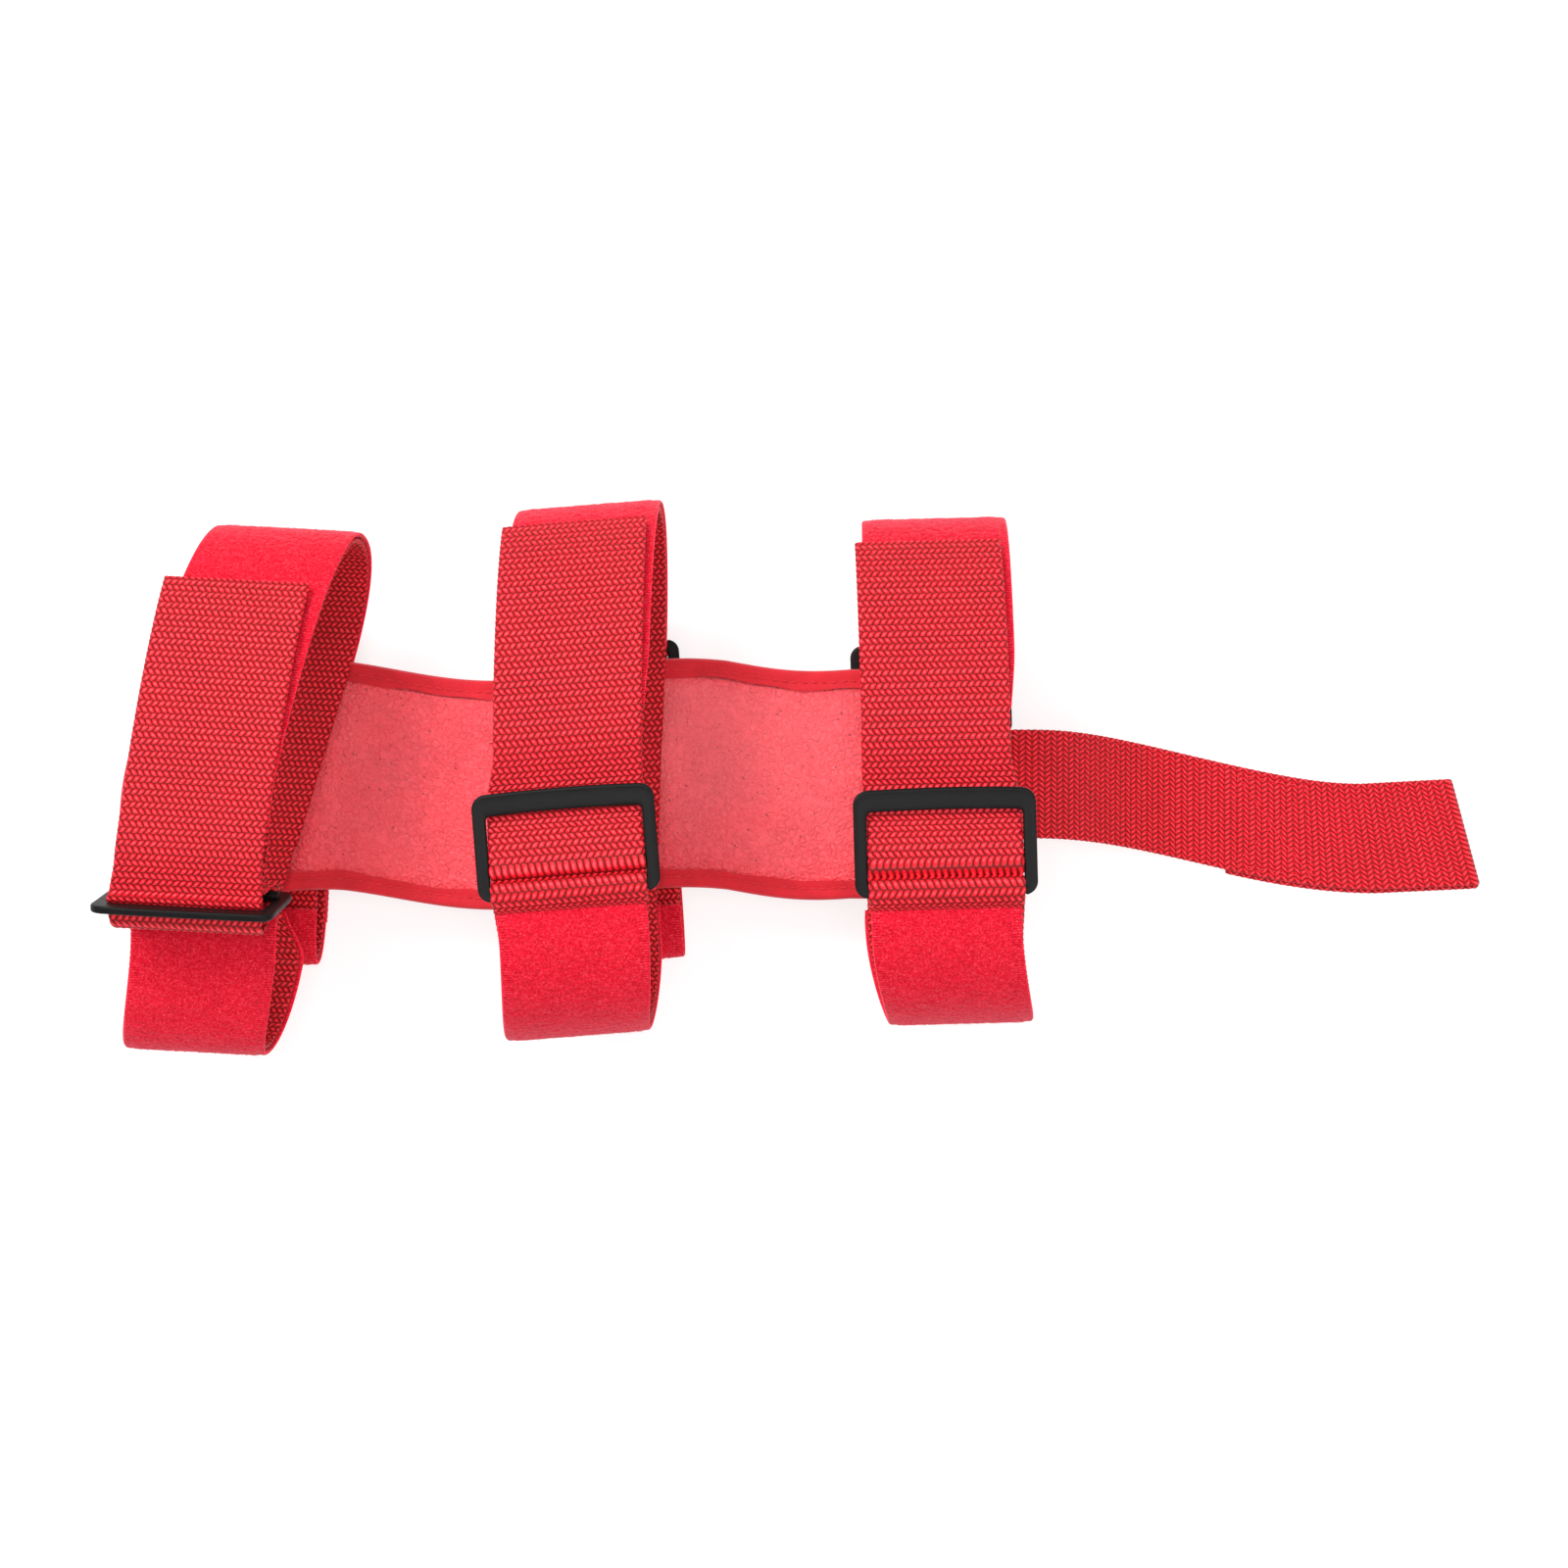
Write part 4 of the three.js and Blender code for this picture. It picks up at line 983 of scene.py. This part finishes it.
def build_panel():
    face = sheet("panel_face_sheet", FACE_Z - 0.1, FACE_Z + FACE_THICK, LEATHER, swell=1.1, texture=0.05)
    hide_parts("panel_face")
    padding = sheet("panel_padding_felt", PADDING_Z, PADDING_Z + PADDING_THICK, FELT, spacing=2.0)
    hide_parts("panel_padding")
    lining = sheet("panel_lining_cloth", LINING_Z, LINING_Z + LINING_THICK, LINING, texture=0.05)
    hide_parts("panel_lining")
    for piece in (face, padding, lining):
        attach(piece, "panel")
    edge_binding()
    left, right = PANEL_LEFT + STITCH_INSET, PANEL_RIGHT - STITCH_INSET
    top = PANEL_WIDTH / 2 - STITCH_INSET

    def lay(p):
        return panel_point(p[:, 0], p[:, 1], p[:, 2])

    for label, z, up in (("front", FRONT_Z, 1), ("back", BACK_Z, -1)):
        corners = [(left, -top, z), (right, -top, z), (right, top, z), (left, top, z), (left, -top, z)]
        runs = [stitches(a, b, (0, 0, up), lay) for a, b in zip(corners, corners[1:])]
        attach(thread_mesh(f"binding_stitches_{label}", runs), "panel")


# ---------------- pull strap
class PullStrap:
    """The pull strap's side view: u along +X from the panel's middle, v up."""

    root_end = PANEL_RIGHT + 4
    free_start = root_end + 2 * GAP
    free_end = free_start + NECK_FREE
    fold_back = free_end - NECK_DOUBLED
    neck_z = PADDING_Z + GAP
    low_top = GROUND_Z + NECK_THICK
    high_bottom = low_top + 0.4
    bulge = 2.6  # how far the upper layer rises off the lower one before the fold
    slant = 0.27
    skew_run = 80.0
    sway_from, sway_to, sway_depth, sway_after = PANEL_RIGHT + 10, PANEL_RIGHT + 138, 19.8, 0.05
    low_layer_shift = 1.5
    box = (fold_back + 3, fold_back + 31, NECK_WIDTH / 2 - 3)

    def line(self):
        """Out of the panel, down to the ground, and round the fold into the lower layer."""
        radius = (self.high_bottom + self.bulge - self.low_top) / 2
        fold_x = self.free_end - NECK_THICK - radius
        peak = self.high_bottom + self.bulge
        landing = (self.fold_back - 6, self.high_bottom)
        puff = (self.fold_back + 32, self.high_bottom)
        return line_path(
            ((PANEL_RIGHT - NECK_SEWN_IN, self.neck_z), (self.free_start, self.neck_z)),
            level_bend((self.free_start, self.neck_z), landing, 25.4, 40),
            (landing, puff),
            level_bend(puff, (fold_x, peak), 20, 22),
            half_turn(fold_x, peak, self.low_top, radius),
            ((fold_x, self.low_top), (self.fold_back, self.low_top)),
        )

    def sway(self, x):
        """How far the strap wanders to one side on its way to the end."""
        after = self.sway_after * np.maximum(x - self.sway_to, 0)
        return after - self.sway_depth * smooth(x, self.sway_from, self.sway_to)

    def place(self, across, u, v):
        """The end is cut and folded on the skew, and the lower layer lies a little towards -Y."""
        skew = smooth(u, self.free_end - self.skew_run, self.free_end)
        low_layer = smooth(-v, -(self.low_top + 1.2), -self.low_top) * (u > self.fold_back - 1)
        x = u - across * self.slant * skew
        y = across + self.sway(u) - self.low_layer_shift * low_layer
        return np.stack(np.broadcast_arrays(x, y, v), -1)

    def sewn_box(self, x, u):
        """How hard the sewn box and cross press into the webbing, from 0 to 1."""
        low, high, half = self.box
        along, across = (u - low) / (high - low), x / half
        inside = (np.abs(along - 0.5) < 0.53) & (np.abs(across) < 1.06)
        gaps = [
            np.abs(u - low), np.abs(u - high), np.abs(np.abs(x) - half),
            np.abs(2 * along - 1 - across) * half * 0.6, np.abs(2 * along - 1 + across) * half * 0.6,
        ]
        return np.exp(-((np.minimum.reduce(np.broadcast_arrays(*gaps)) / 0.8) ** 2)) * inside


def build_pull_strap():
    pull = PullStrap()
    strap = strap_solid(
        "pull_strap_webbing", pull, pull.line(), -NECK_THICK, 0, NECK_WIDTH, NECK_WEBBING,
        dent=pull.sewn_box, weave=CHEVRON, relief=NECK_RELIEF,
    )
    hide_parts("neck_strap_root", "neck_strap_loop")
    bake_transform(strap)

    # the box and cross that hold the folded-back layer
    top = pull.high_bottom + NECK_THICK - 0.1
    low, high, half = pull.box
    corners = [(low, -half, top), (high, -half, top), (high, half, top), (low, half, top)]
    pairs = [(0, 1), (1, 2), (2, 3), (3, 0), (0, 2), (1, 3)]

    def lay(p):
        return pull.place(p[:, 1], p[:, 0], p[:, 2])

    runs = [stitches(corners[a], corners[b], (0, 0, 1), lay, sink=0.3) for a, b in pairs]
    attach(thread_mesh("pull_strap_stitches", runs), "neck_strap")


build_panel()
for index, entry in enumerate(STRAPS):
    build_strap(Loop(*entry), 100 + 40 * index)
build_pull_strap()


# ---------------- floor, light and camera
def build_stage():
    bpy.ops.mesh.primitive_plane_add(size=8, location=(0, 0, (GROUND_Z - 0.4) * MM))
    floor = bpy.context.object
    floor.name = "floor"
    look = Look("floor_paper", 0.9, 0.2)
    look.set(look.shader, "Emission Color", (1, 1, 1, 1))
    look.set(look.shader, "Emission Strength", 0.75)
    floor.data.materials.append(look.finish((0.35, 0.35, 0.35, 1)))
    world = bpy.context.scene.world or bpy.data.worlds.new("studio")
    bpy.context.scene.world = world
    world.use_nodes = True
    sky = world.node_tree.nodes["Background"].inputs
    sky["Color"].default_value = (1, 1, 1, 1)
    sky["Strength"].default_value = 0.7
    aim = bpy.data.objects.new("light_aim", None)
    aim.location = (0.05, 0, 0)
    bpy.context.scene.collection.objects.link(aim)
    for name, place, size, power in (
        ("key_softbox", (-0.45, 0.65, 1.0), 0.5, 11.0),
        ("fill_softbox", (0.8, -0.4, 1.1), 0.9, 2.5),
        ("top_softbox", (0.05, 0.12, 1.35), 0.35, 4.0),
    ):
        light = bpy.data.lights.new(name, "AREA")
        light.energy, light.size = power, size
        lamp = bpy.data.objects.new(name, light)
        lamp.location = place
        lamp.constraints.new("TRACK_TO").target = aim
        bpy.context.scene.collection.objects.link(lamp)


PRODUCT_MIDDLE, CAMERA_HEIGHT = 71.0, 825.0


def build_camera():
    """Straight down on the middle of the whole product."""
    data = bpy.data.cameras.new("camera")
    data.sensor_width, data.lens = 36, 52
    camera = bpy.data.objects.new("camera", data)
    camera.location = (PRODUCT_MIDDLE * MM, 0, (FRONT_Z + CAMERA_HEIGHT) * MM)
    bpy.context.scene.collection.objects.link(camera)
    bpy.context.scene.camera = camera


build_stage()
build_camera()
bpy.context.scene.view_settings.view_transform = "Standard"
